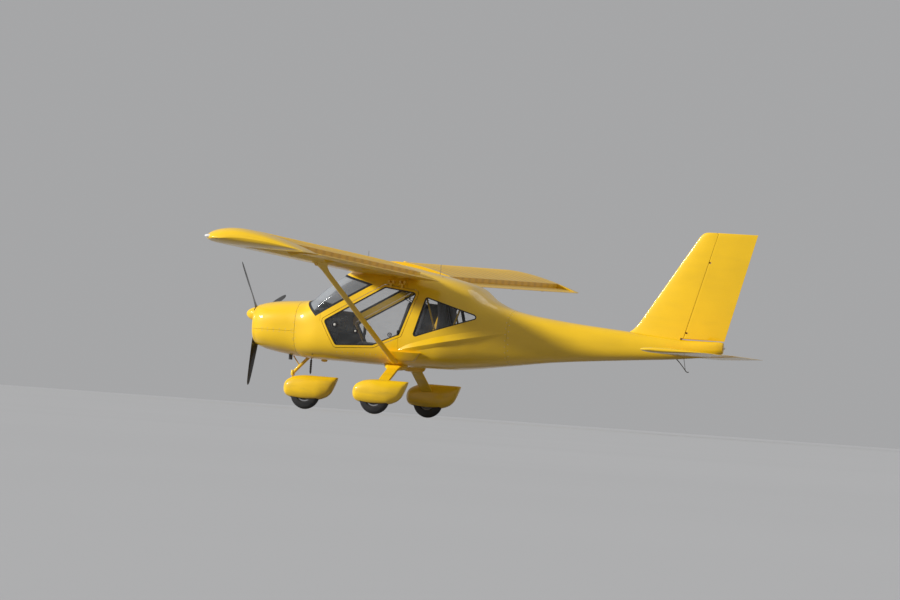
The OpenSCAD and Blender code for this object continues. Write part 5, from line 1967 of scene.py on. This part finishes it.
@dataclass
class Fairing(Assembly):
    """One wheel fairing: a hollow pod with a slot for its tyre."""

    name: str
    station: float
    y: float
    wall: float = 0.008
    tyre_r: float = 0.182
    tyre_w: float = 0.096
    move_gap: float = 0.007
    front: float = -0.275
    screws: tuple[tuple[float, float, float], ...] = ((-0.108, 0.0978, 0.237), (0.190, 0.0925, 0.300))
    rows: tuple[tuple[float, ...], ...] = (
        (-0.275, 0.012, 0.222, 0.262, 0), (-0.262, 0.040, 0.182, 0.300, 0), (-0.215, 0.084, 0.142, 0.348, 0),
        (-0.110, 0.098, 0.118, 0.388, 0), (0.020, 0.104, 0.110, 0.400, 0), (0.150, 0.098, 0.116, 0.398, 0.05),
        (0.280, 0.074, 0.148, 0.396, 0.22), (0.352, 0.046, 0.200, 0.394, 0.36),
        (0.366, 0.024, 0.222, 0.390, 0.4),
    )

    def rings(self, inset: float, end: float) -> list[np.ndarray]:
        """Rings of the pod from its nose to a distance behind the axle."""
        turn = (np.arange(56) + 0.5) / 56 * 2 * math.pi
        round_y, round_z = (np.sign(v) * np.abs(v) ** 0.86 for v in (np.cos(turn), np.sin(turn)))
        made = []
        for t in np.linspace(0, 1, 52):
            at = self.front + (end - self.front) * t**1.25
            half, low, high, rake = read(self.rows, at)
            rise, width = (high - low) / 2 - inset, half - inset
            if rise >= 0.004 and width >= 0.004:
                z = rise * round_z
                x = self.station + at + z * rake
                made.append(np.stack([x, self.y + width * round_y, (low + high) / 2 + z], axis=1))
        return made

    def build(self) -> Piece:
        """Makes the pod, hollow and slotted."""
        outer, inner = self.rings(0.0, 0.366), self.rings(self.wall, 0.345)
        pod = self.made(Shape().loft(outer), self.name, GELCOAT, LINING)
        carve(pod, Shape().loft([inner[0] + np.array([self.wall / 2, 0, 0])] + inner[1:]))
        slot = math.sqrt(self.tyre_r**2 - (self.tyre_r - 0.110) ** 2) + 2 * self.move_gap
        x, y, half = self.station, self.y, self.tyre_w / 2 + self.move_gap
        hole = rounded(rect(x - slot, y - half, x + slot, y + half), 0.03)
        carve(pod, Shape().loft(slices(2, (hole, 0.060), (hole, 0.180))))
        heads = Shape()
        profile = [(0.0004, -0.006), (0.011, -0.006), (0.011, 0.0006), (0.008, 0.0022), (0.0004, 0.0024)]
        for at, half_w, z in self.screws:
            for way in (-1, 1):
                heads.revolve(profile, (x + at, y + way * half_w, z), (0, way, 0), 24)
        return joined(self.name, [pod, self.made(heads, "heads", DARK_METAL)])


@dataclass
class NoseGear(Assembly):
    """The nose leg's fixed tubes, the steered fork and its fairing."""

    frame: dict
    leg_x: float = 0.635
    axle_x: float = 0.810
    damper_x: float = 0.855

    def build(self) -> None:
        """Makes the nose gear."""
        pod, x = Fairing(self.craft, "nose_fairing", self.axle_x, 0.0).build(), self.leg_x
        carve(pod, Shape().tube([(x, 0, 0.300), (x, 0, 0.500)], 0.0103, 32))
        self.finish(pod, GELCOAT, "nose_pant", body="nose_gear")
        self.craft.keep(self.frame, PAINT, "nose_fork")
        head = [(0.0104, 0), (0.022, 0), (0.024, 0.003), (0.024, 0.056), (0.021, 0.062), (0.0104, 0.062)]
        leg = Shape().revolve(head, (x, 0, 0.386), (0, 0, 1), 48)
        leg.tube([(x + 0.004, 0, 0.418), (x + 0.196, 0, 0.617)], 0.019, 28)
        leg.tube([(x - 0.006, 0, 0.616), (x + 0.084, 0, 0.498)], 0.007, 16)
        leg.tube([(x + 0.060, -0.026, 0.474), (x + 0.060, 0.026, 0.474)], 0.006, 12)
        self.add(leg, "nose_leg_skin", PAINT, "nose_leg")
        damper = Shape().tube([(self.damper_x, 0, 0.414), (self.damper_x, 0, 0.612)], 0.0065, 20)
        ring = [(0.006, -0.010), (0.011, -0.0098), (0.0138, 0.0), (0.011, 0.0098), (0.006, 0.010)]
        for z in np.arange(0.440, 0.590, 0.0215):
            damper.revolve(ring, (self.damper_x, 0, z), (0, 0, 1), 28)
        self.add(damper, "nose_damper", RUBBER, "nose_leg")


@dataclass
class MainGear(Sided):
    """One main leg and its fairing."""

    station: float = 2.022
    track: float = 1.800
    chord: float = 0.142
    thickness: float = 0.026
    fork_y: float = 0.060
    plate_t: float = 0.010
    axle_r: float = 0.010
    axle_z: float = 0.182
    cuff_rows: tuple[tuple[float, ...], ...] = (
        (0.030, 0.150, 0.084), (0.070, 0.096, 0.056), (0.112, 0.034, 0.020), (0.150, 0.002, 0.003),
    )

    def section(self, chord: float, thickness: float) -> np.ndarray:
        """Outline of the leg's flat blade."""
        c, t = chord / 2, thickness / 2
        return rounded(rect(-c, -t, c, t), 2 * t * 0.45, 6)

    def line(self) -> tuple[np.ndarray, np.ndarray]:
        """The blade's root and knee, on the left."""
        knee = [self.station + 0.006, -self.track / 2 + self.fork_y + 0.006, 0.300]
        return np.array([self.station + 0.012, -0.280, 0.599]), np.array(knee)

    def cuff(self) -> Shape:
        """The cuff round the leg's root, spreading towards the belly."""
        (root, knee), rings = self.line(), []
        for s in np.linspace(self.cuff_rows[0][0], self.cuff_rows[-1][0], 14):
            wide, thick = read(self.cuff_rows, s)
            outline = self.section(self.chord + wide, self.thickness + thick)
            rings.append(root + unit(knee - root) * s + np.insert(outline, 1, 0.0, axis=1))
        return Shape().loft(mirrored(rings, self.side))

    def leg(self, grow: float) -> Shape:
        """The blade from its root to its knee."""
        root, knee = self.line()
        along = unit(knee - root)
        ends = [root + (knee - root) * t for t in np.linspace(0, 1, 12)] + [knee + along * 0.004]
        outline = self.section(self.chord + 2 * grow, self.thickness + 2 * grow)
        return Shape().loft(mirrored(squared(outline, along, ends), self.side))

    def foot(self) -> Shape:
        """The plate beside the wheel and the axle."""
        x, z, half = self.station, self.axle_z, self.plate_t / 2
        outline = [(x - 0.026, z - 0.022), (x + 0.026, z - 0.022), (x + 0.060, 0.306), (x - 0.050, 0.306)]
        plate, wheel, y = rounded(outline, 0.012, 5), -self.track / 2, -self.track / 2 + self.fork_y
        shape = Shape().loft(mirrored(slices(1, (plate, y - half), (plate, y + half)), self.side))
        return shape.tube(mirrored([(x, wheel - 0.036, z), (x, y + half, z)], self.side), self.axle_r, 28)

    def build(self) -> None:
        """Makes the leg and its fairing."""
        parts = [self.made(shape, "leg", PAINT) for shape in (self.leg(0.0), self.cuff(), self.foot())]
        for part in parts[:2]:
            carve(part, self.hull.solid(1.7, 2.4, 0.002))
        self.finish(joined(f"main_leg_skin_{self.word}", parts), PAINT, f"main_leg_{self.word}")
        y = self.side.value * self.track / 2
        pod = Fairing(self.craft, f"main_fairing_{self.word}", self.station, y).build()
        carve(pod, self.leg(0.0008))
        self.finish(pod, GELCOAT, f"main_pant_{self.word}")


@dataclass
class Seat(Sided):
    """One seat: a moulded pan, two pads blown up as cloth, their stitching and a harness."""

    width: float = 0.430
    middle: float = 0.265
    pan: tuple[tuple[float, float], ...] = (
        (1.558, 0.7165), (2.070, 0.7165), (2.262, 1.330), (2.247, 1.334), (2.060, 0.729), (1.560, 0.729),
    )
    cushion: tuple[tuple[float, float], ...] = (
        (1.582, 0.742), (2.002, 0.742), (2.004, 0.790), (1.604, 0.822), (1.570, 0.788),
    )
    back: tuple[tuple[float, float], ...] = ((2.028, 0.812), (2.078, 0.800), (2.238, 1.316), (2.196, 1.334))
    side_in: float = 0.012
    channels: tuple[float, ...] = (-0.105, 0.0, 0.105)
    channel_w: float = 0.007
    channel_deep: float = 0.006
    stitch_off: float = 0.008
    fill: float = 0.7
    belt_w: float = 0.045
    belt_t: float = 0.002
    lap_x: float = 1.965

    def y(self, across: float) -> float:
        """Place across the aircraft of a distance from the seat's middle."""
        return self.side.value * self.middle + across

    def front(self, outline: Outline) -> tuple[np.ndarray, np.ndarray]:
        """Ends of the face that is sat on or leant on, in side view."""
        pair = (outline[3], outline[2]) if len(outline) == 5 else (outline[0], outline[3])
        return tuple(np.array([x, 0.0, z]) for x, z in pair)

    def touch(self, pad: Piece, start: Any, way: Any) -> np.ndarray:
        """Where a line first meets a pad."""
        nose = np.array([Shape.nose_x, 0.0, 0.0])
        hit, place, _, _ = pad.ray_cast(Vector(start + nose), Vector(way))
        return np.array(place) - nose if hit else np.array(start)

    def pad(self, name: str, outline: Outline) -> tuple[Piece, list[Any]]:
        """One pad with its sewn channels.

        Args:
            name: Name of the piece.
            outline: Its side view before it swells.

        Returns:
            The pad, and a pair of lines of stitches with their normals for each channel.
        """
        half = self.width / 2 - self.side_in
        block = Shape().prism(rounded(outline, 0.012, 4), self.y(-half), self.y(half))
        pad = swollen(bevelled(self.made(block, name, SEAT_CLOTH), 0.014))
        low, high = self.front(outline)
        out = np.cross(unit(high - low), [0.0, 1.0, 0.0])
        out = out if out[2] > 0 else -out
        normals = np.array([v.normal for v in pad.data.vertices])
        points = coordinates(pad.data)
        facing = np.clip(normals @ out * 2 - 0.6, 0, 1)
        for place in self.channels:
            away = (points[:, 1] - self.y(place)) / self.channel_w
            points = points - np.outer(self.channel_deep * facing * np.exp(-(away**2)), out)
        pad.data.vertices.foreach_set("co", points.ravel())
        pad.data.update()
        bpy.context.view_layer.update()
        seams = []
        for place in self.channels:
            for off in (-self.stitch_off, self.stitch_off):
                starts = [low + (high - low) * k + out * 0.08 for k in np.linspace(0.10, 0.90, 40)]
                line = [self.touch(pad, p + [0, self.y(place + off), 0], -out) for p in starts]
                seams.append((line, np.tile(out, (len(line), 1))))
        return pad, seams

    def harness(self, cushion: Piece, back: Piece) -> None:
        """Two shoulder straps and a lap strap with its buckle, laid on the pads."""
        shape, (low, high), out = Shape(), self.front(self.back), np.array([-0.95, 0.0, 0.30])
        for place in (-0.075, 0.075):
            line = [
                self.touch(
                    back, low + (high - low) * k + [0, self.y(place * (0.55 + 0.45 * k)), 0] + out * 0.1, -out
                )
                for k in np.linspace(1.0, 0.12, 18)
            ]
            line = [line[0] + [0.05, 0, 0.006], line[0] + [0.022, 0, 0.014]] + line
            shape.ribbon(bent(np.array(line) + out * 0.0022, 60), (0, 1, 0), self.belt_w, self.belt_t)
        down = np.array([0.0, 0.0, -1.0])
        line = [self.touch(cushion, (self.lap_x, self.y(a), 1.0), down) for a in np.linspace(-0.19, 0.19, 24)]
        shape.ribbon(bent(np.array(line) + [0, 0, 0.003], 50), (1, 0, 0), self.belt_w, self.belt_t)
        self.add(shape, f"harness_{self.word}", WEBBING)
        box = rounded(rect(-0.030, -0.024, 0.030, 0.024), 0.008, 4)
        layers = ((box, 0.003), (box, 0.012), (grown(box, -0.003), 0.015))
        rings = slices(2, *((ring + [self.lap_x, self.y(0)], line[12][2] + h) for ring, h in layers))
        self.add(Shape().loft(rings), f"buckle_{self.word}", BARE_METAL)

    def build(self) -> None:
        """Makes the seat."""
        word, half, node = self.word, self.width / 2, f"seat_{self.word}"
        pan = self.made(Shape().prism(self.pan, self.y(-half), self.y(half)), f"seat_pan_{word}", PLASTIC)
        self.finish(bevelled(pan, 0.003), PLASTIC, node)
        pads, seams = [], []
        for name, outline in (("cushion", self.cushion), ("back", self.back)):
            pad, lines = self.pad(f"seat_{name}_{word}", outline)
            self.finish(pad, SEAT_CLOTH, node)
            pads.append(pad)
            seams += lines
        cloth = self.craft.paint[BAG_CLOTH]
        self.finish(self.craft.rivets.rows(f"seat_stitches_{word}", seams, cloth, 0.008, 0.0014), BAG_CLOTH)
        self.harness(*pads)


@dataclass
class CabinFittings(Assembly):
    """The panel with its dials, the coaming, cabin tubes, pedals and the baggage cloth."""

    panel_x: float = 1.120
    panel_t: float = 0.024
    panel_z: tuple[float, float] = (0.930, 1.162)
    inset: float = 0.0235
    dials: tuple[tuple[float, float, float], ...] = (
        (-0.340, 1.085, 0.040), (-0.235, 1.085, 0.040), (-0.130, 1.085, 0.040), (0.235, 1.085, 0.034),
        (0.325, 1.085, 0.034), (-0.340, 0.985, 0.028), (-0.265, 0.985, 0.028), (-0.190, 0.985, 0.028),
        (0.325, 0.990, 0.028),
    )
    boxes: tuple[tuple[float, ...], ...] = (
        (0.050, 1.100, 0.150, 0.042), (0.050, 1.048, 0.150, 0.032), (0.050, 1.006, 0.150, 0.034),
    )
    switches: int = 6
    knobs: tuple[tuple[float, float], ...] = ((0.150, 0.011), (0.185, 0.008), (-0.020, 0.009))
    knob_z: float = 0.958
    shelf: tuple[tuple[float, float], ...] = (
        (0.812, 1.176), (1.150, 1.164), (1.166, 1.150), (1.172, 1.158), (1.166, 1.176), (1.146, 1.184),
        (0.812, 1.205),
    )
    pedal_x: float = 1.020
    cloth_x: float = 2.480
    cloth_top: float = 1.420
    cloth_drop: float = 0.540
    cloth_half: float = 0.330

    def slab(self, name: str, span: tuple[float, float], outline: Outline, finish: Finish) -> Piece:
        """A block that fills the cabin from wall to wall, cut to a side view outline."""
        block = self.hull.solid(*span, self.inset, (span[1] - span[0]) / 6)
        return carve(self.made(block, name, finish), Shape().prism(outline), Cut.KEEP)

    def panel(self) -> None:
        """The instrument panel, with round and flat instruments, knobs and switches."""
        face, (low, high) = self.panel_x + self.panel_t, self.panel_z
        outline = rect(self.panel_x - 1, low, face + 1, high)
        board = self.slab("panel", (self.panel_x, face), outline, LINING)
        rings, glasses, marks, aft = Shape(), Shape(), Shape(), (1, 0, 0)
        for y, z, r in self.dials:
            bezel = [
                (r, 0), (r * 1.12, 0), (r * 1.12, 0.003), (r * 1.02, 0.006), (r * 0.92, 0.004), (r * 0.92, 0)
            ]
            rings.revolve(bezel, (face, y, z), aft, 48)
            glasses.revolve(rect(0.0004, 0.0004, r * 0.93, 0.0016), (face, y, z), aft, 40)
            ticks = [(turn, face + 0.002, 0.70, 0.87, 0.0016) for turn in turns(12)]
            for turn, x, start, end, wide in ticks + [(r * 900 + z * 40, face + 0.003, 0.0, 0.66, 0.0024)]:
                way = np.array([0, math.sin(turn), math.cos(turn)])
                path = [np.array([x, y, z]) + way * r * s for s in (start, end)]
                marks.ribbon(path, np.cross(way, [1, 0, 0]), wide, 0.0006)
        for y, z, w, h in self.boxes:
            box = rounded(rect(y - w / 2, z - h / 2, y + w / 2, z + h / 2), 0.004, 3)
            rings.loft(slices(0, (box, face), (box, face + 0.007), (grown(box, -0.002), face + 0.009)))
            for at in (y - w * 0.42, y + w * 0.42):
                rings.tube([(face, at, z), (face + 0.020, at, z)], h * 0.2, 16)
            screen = rounded(rect(y - w * 0.3, z - h * 0.3, y + w * 0.3, z + h * 0.3), 0.002, 2)
            glasses.loft(slices(0, (screen, face + 0.006), (screen, face + 0.0096)))
        for k in range(self.switches):
            y = -0.10 + 0.026 * k
            rings.tube([(face, y, 0.962), (face + 0.014, y, 0.966)], 0.003, 10)
        for y, r in self.knobs:
            rings.tube([(face, y, self.knob_z), (face + 0.050, y, self.knob_z)], 0.004, 12)
            knob = [(0.0004, 0), (r, 0.003), (r, 0.014), (0.0004, 0.017)]
            rings.revolve(knob, (face + 0.048, y, self.knob_z), aft, 24)
        parts = [board, self.made(rings, "bezels", PLASTIC), self.made(glasses, "glasses", SEAL),
                 self.made(marks, "marks", DIAL_WHITE_AND_HIGHLIGHT)]
        self.finish(joined("dashboard", parts), LINING, "instrument_panel")

    def tubes(self) -> None:
        """Yellow frame tubes behind the seats, the flaperon push rod and the pedals."""
        yellow, dark, x = Shape(), Shape(), self.pedal_x
        for side in Side:
            for path in (
                [(2.350, -0.470, 1.585), (2.620, -0.415, 0.700)],
                [(2.350, -0.450, 1.590), (2.860, -0.330, 1.500)],
                [(2.620, -0.420, 0.705), (2.860, -0.330, 1.500)],
            ):
                yellow.tube(mirrored(path, side), 0.011, 16)
            dark.tube(mirrored([(2.500, -0.250, 1.640), (2.760, -0.230, 0.720)], side), 0.019, 18)
            for y in (-0.36, -0.17):
                path = [(x, y, 0.800), (x + 0.010, y, 0.900), (x + 0.020, y, 0.935)]
                dark.tube(mirrored(path, side), 0.008, 14)
                bar = [(x + 0.020, y - 0.045, 0.940), (x + 0.020, y + 0.045, 0.940)]
                dark.tube(mirrored(bar, side), 0.011, 14)
        dark.tube([(x, -0.40, 0.800), (x, 0.40, 0.800)], 0.009, 14)
        for y in (-0.40, 0.0, 0.40):
            dark.tube([(x, y, 0.640), (x, y, 0.802)], 0.009, 14)
        dark.tube([(1.560, 0.0, 0.640), (3.100, 0.0, 0.760)], 0.012, 14)
        self.add(yellow, "cabin_tubes", PAINT)
        self.add(dark, "control_rods", PLASTIC)

    def baggage(self) -> None:
        """The light cloth hung across the cabin behind the seats, from a rod."""
        x, top, drop, half = self.cloth_x, self.cloth_top, self.cloth_drop, self.cloth_half
        v, u = (grid.T for grid in np.meshgrid(np.linspace(0, 1, 40), np.linspace(-1, 1, 90)))
        fold = 0.010 * v * np.sin(u * 13) + 0.006 * v * np.sin(u * 29 + 2 * v)
        hang = np.sin(math.pi * v)
        front = np.stack([x + fold + 0.030 * hang, half * u * (1 - 0.06 * hang), top - drop * v], axis=-1)
        cloth = self.made(Shape().loft(front, open_rings=True), "baggage_cloth", BAG_CLOTH)
        cloth.modifiers.new("wall", "SOLIDIFY").thickness = 0.0012
        shade(settle(cloth), 60.0)
        rod = Shape().tube([(x, -half - 0.05, top + 0.007), (x, half + 0.05, top + 0.007)], 0.007, 16)
        bar = self.add(rod, "baggage_rod", BARE_METAL)
        self.finish(cloth, BAG_CLOTH)

    def build(self) -> None:
        """Makes the cabin's fittings."""
        self.panel()
        self.finish(self.slab("coaming", (0.812, 1.175), self.shelf, PLASTIC), PLASTIC)
        self.tubes()
        self.baggage()


@dataclass
class Fasteners(Assembly):
    """Rows of screws on the fuselage, and its small outside fittings."""

    vent_x: float = 1.020
    cap_at: tuple[float, float] = (0.30, 0.35)

    def hoop(self, station: float, low: float = 0.0, high: float = SKY) -> tuple[np.ndarray, np.ndarray]:
        """A line round the hull at a station between two heights on the left, with its normals."""
        ring = self.hull.ring(station, count=240)[:120]
        way = np.gradient(ring, axis=0)
        out = np.stack([np.zeros(len(way)), -way[:, 2], way[:, 1]], axis=1)
        out /= np.linalg.norm(out, axis=1, keepdims=True)
        keep = (ring[:, 2] > low) & (ring[:, 2] < high)
        return ring[keep], out[keep]

    def edge(self, *points: tuple[float, float]) -> tuple[np.ndarray, np.ndarray]:
        """A line over the hull's left side through stations and heights, with its normals."""
        side, at, step = self.hull.side, bent(points, 60), 0.004
        line = np.array([(s, -side(s, z), z) for s, z in at])
        slope = [
            ((side(s + step, z) - side(s, z)) / step, (side(s, z + step) - side(s, z)) / step) for s, z in at
        ]
        return line, np.array([unit((-a, -1.0, -b)) for a, b in slope])

    def screws(self) -> None:
        """Screws along the cowling's seams, the windscreen, the belly panel and the tail's joint."""
        lines = [self.hoop(0.786, 0.0, 0.880), self.hoop(0.786, 0.920), self.hoop(0.814, 0.0, 1.240),
                 self.hoop(3.352), self.hoop(3.388), self.edge((0.300, 0.916), (0.760, 0.916)),
                 self.edge((0.300, 0.884), (0.760, 0.884)), self.edge((1.360, 0.690), (2.060, 0.690))]
        for side in Side:
            rows = [(mirrored(line, side), mirrored(out, side)) for line, out in lines]
            name, metal = f"screws_{side.word}", self.craft.paint[BARE_METAL]
            self.finish(self.craft.rivets.rows(name, rows, metal, 0.070, 0.0042, 0.0010), BARE_METAL)

    def lamps(self) -> None:
        """Position lights at the wing tips and on the tail's end."""
        wing = self.wing
        layers = (
            (-0.030, 0.004), (-0.026, 0.012), (-0.012, 0.020), (0.010, 0.024), (0.045, 0.022), (0.080, 0.008)
        )
        for side in Side:
            place = wing.place([(0.062, wing.panel + wing.tip * 0.72, float(wing.mean(0.02)))], side)[0]
            rings = [
                [place + [d, a * math.cos(t), a * math.sin(t) * 0.8] for t in turns(24)] for d, a in layers
            ]
            self.add(Shape().loft(rings), f"tip_light_{side.word}", LAMP)
        dome = [
            (0.0003, 0.022), (0.010, 0.019), (0.016, 0.010), (0.018, 0.0), (0.018, -0.012), (0.0003, -0.012)
        ]
        self.add(Shape().revolve(dome, (5.886, 0, 1.034), (1, 0, 0), 32), "tail_light", LAMP)

    def skid(self) -> None:
        """The sprung tail skid with its turned foot and a stay."""
        rod = [(5.330, 0.880), (5.372, 0.840), (5.440, 0.764), (5.462, 0.738), (5.476, 0.7325), (5.492, 0.734)]
        shape = Shape().tube(bent(slices(1, (rod, 0.0))[0], 40), 0.0052, 14)
        shape.tube([(5.424, 0, 0.880), (5.449, 0, 0.757)], 0.0030, 10)
        self.add(shape, "tail_skid_rod", DARK_METAL, "tail_skid")

    def small(self) -> None:
        """The belly's vent and the fuel caps."""
        wing, shape, (aft, out), x = self.wing, Shape(), self.cap_at, self.vent_x
        low = self.hull.row(x)[1] + 0.002
        layers = ((0.026, 0.0), (0.026, 0.014), (0.020, 0.024), (0.008, 0.028))
        shape.loft(
            [[(x + a * 1.5 * math.cos(t), a * math.sin(t), low - d) for t in turns(24)] for a, d in layers]
        )
        cap = [(0.0004, 0.0), (0.034, 0.0), (0.036, 0.004), (0.032, 0.009), (0.0004, 0.010)]
        for side in Side:
            base, above = wing.place([(aft, out, 0), (aft, out, 1)], side)
            up = unit(above - base)
            shape.revolve(cap, base + up * (float(wing.skin(aft / wing.full_chord, 1)) - 0.001), up, 48)
        self.add(shape, "caps_and_vent", PAINT)

    def build(self) -> None:
        """Makes the fasteners and small fittings."""
        self.screws()
        self.lamps()
        self.skid()
        self.small()


@dataclass
class Studio:
    """Pale floor, soft light and the camera, which stands at floor level."""

    target: tuple[float, float, float] = (2.6, 0.0, 0.0)
    distance: float = 60.0
    azimuth: float = math.radians(19.81)
    roll: float = math.radians(4.1)
    pitch: float = math.radians(1.29)
    yaw: float = math.radians(0.062)
    focal_px: float = 5155.1
    eye: float = 0.035
    sensor: float = 36.0
    floor_half: float = 400.0
    sun: tuple[float, float, float] = (-0.80, -0.50, 0.35)

    def floor(self) -> None:
        """A wide pale floor."""
        mesh, far = bpy.data.meshes.new("floor"), self.floor_half
        mesh.from_pydata([(x, y, 0) for x, y in rect(-far, -far, far, far)], [], [(0, 1, 2, 3)])
        tree = Surface("floor")
        tone = tree.mix(tree.noise(0.8, 3.0), (0.42, 0.42, 0.423, 1), (0.45, 0.45, 0.453, 1))
        tone = tree.mix(tree.seen(), (0.22, 0.22, 0.22, 1), tone)
        mesh.materials.append(tree.close(Base_Color=tone, Roughness=0.9))
        linked("floor", mesh)

    def world(self) -> None:
        """An even pale surround that lights the aircraft softly."""
        world = bpy.data.worlds.new("surround")
        bpy.context.scene.world = world
        world.use_nodes = True
        tree = NodeTree(world.node_tree)
        tree.tree.nodes.clear()
        light = tree.node("ShaderNodeBackground", {"Color": (0.97, 0.98, 1.0, 1), "Strength": 0.3})
        view = tree.node("ShaderNodeBackground", {"Color": (0.38, 0.382, 0.388, 1), "Strength": 1.0})
        both = tree.node("ShaderNodeMixShader", {0: tree.seen(), 1: light, 2: view})
        tree.node("ShaderNodeOutputWorld", {"Surface": both})

    def lamps(self) -> None:
        """A low key light from ahead on the left, with a softer glint, and a weak light behind."""
        for name, strength, spread, towards, glints in (
            ("key", 3.6, 7.0, self.sun, False),
            ("glint", 1.0, 9.0, self.sun, True),
            ("rim", 0.6, 40.0, (0.45, 0.5, 0.74), True),
        ):
            lamp = bpy.data.lights.new(name, "SUN")
            lamp.energy, lamp.angle = strength, math.radians(spread)
            obj = linked(name, lamp)
            obj.rotation_euler = Vector(towards).to_track_quat("Z", "Y").to_euler()
            obj.visible_glossy = glints

    def camera(self) -> None:
        """The camera, far off, low and rolled, as the photograph was taken."""
        heading, flat = self.azimuth + self.yaw, math.cos(self.pitch)
        ahead = Vector((-math.sin(heading) * flat, math.cos(heading) * flat, math.sin(self.pitch)))
        data = bpy.data.cameras.new("camera")
        data.sensor_width = self.sensor
        data.lens = self.focal_px * self.sensor / PHOTO_WIDTH
        data.clip_end = 1000.0
        camera, (x, y, _) = linked("camera", data), self.target
        x += math.sin(self.azimuth) * self.distance + Shape.nose_x
        camera.location = (x, y - math.cos(self.azimuth) * self.distance, self.eye)
        camera.rotation_mode = "QUATERNION"
        level = ahead.to_track_quat("-Z", "Y")
        camera.rotation_quaternion = level @ Matrix.Rotation(self.roll, 4, "Z").to_quaternion()
        bpy.context.scene.camera = camera

    def build(self) -> None:
        """Sets the studio up."""
        bpy.context.scene.view_settings.view_transform = "Standard"
        self.floor()
        self.world()
        self.lamps()
        self.camera()


def main() -> None:
    """Loads the frame and builds every sub-assembly in order."""
    logging.basicConfig(level=logging.INFO, format="%(name)s: %(message)s")
    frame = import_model()
    Shape.nose_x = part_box("spinner")[0].x
    craft = Aircraft(Paintbox(), HullForm(), CabinPlan(), WingForm(), RivetTree(), RepeatTree(), SpinTree())
    Fuselage(craft).build()
    Glazing(craft).build()
    for side in Side:
        for assembly in (Door, Wing, Strut, MainGear):
            assembly(craft, side).build()
        Wheel(craft, f"main_{side.word}", f"main_wheel_{side.word}", 2.022, side.value * 0.900).build()
    for assembly in (Tail, Propeller):
        assembly(craft).build()
    NoseGear(craft, frame).build()
    Wheel(craft, "nose", "nose_wheel", 0.810, 0.0).build()
    for side in Side:
        Seat(craft, side).build()
    for assembly in (CabinFittings, Fasteners):
        assembly(craft).build()
    craft.keep(frame, DARK_METAL, "exhaust")
    craft.keep(frame, ENGINE_METAL, "engine_block")
    craft.keep(frame, TRIM, "firewall", "seat_base", "antennas")
    craft.keep(frame, PLASTIC, "control_stick")
    Studio().build()


if __name__ == "__main__":
    main()
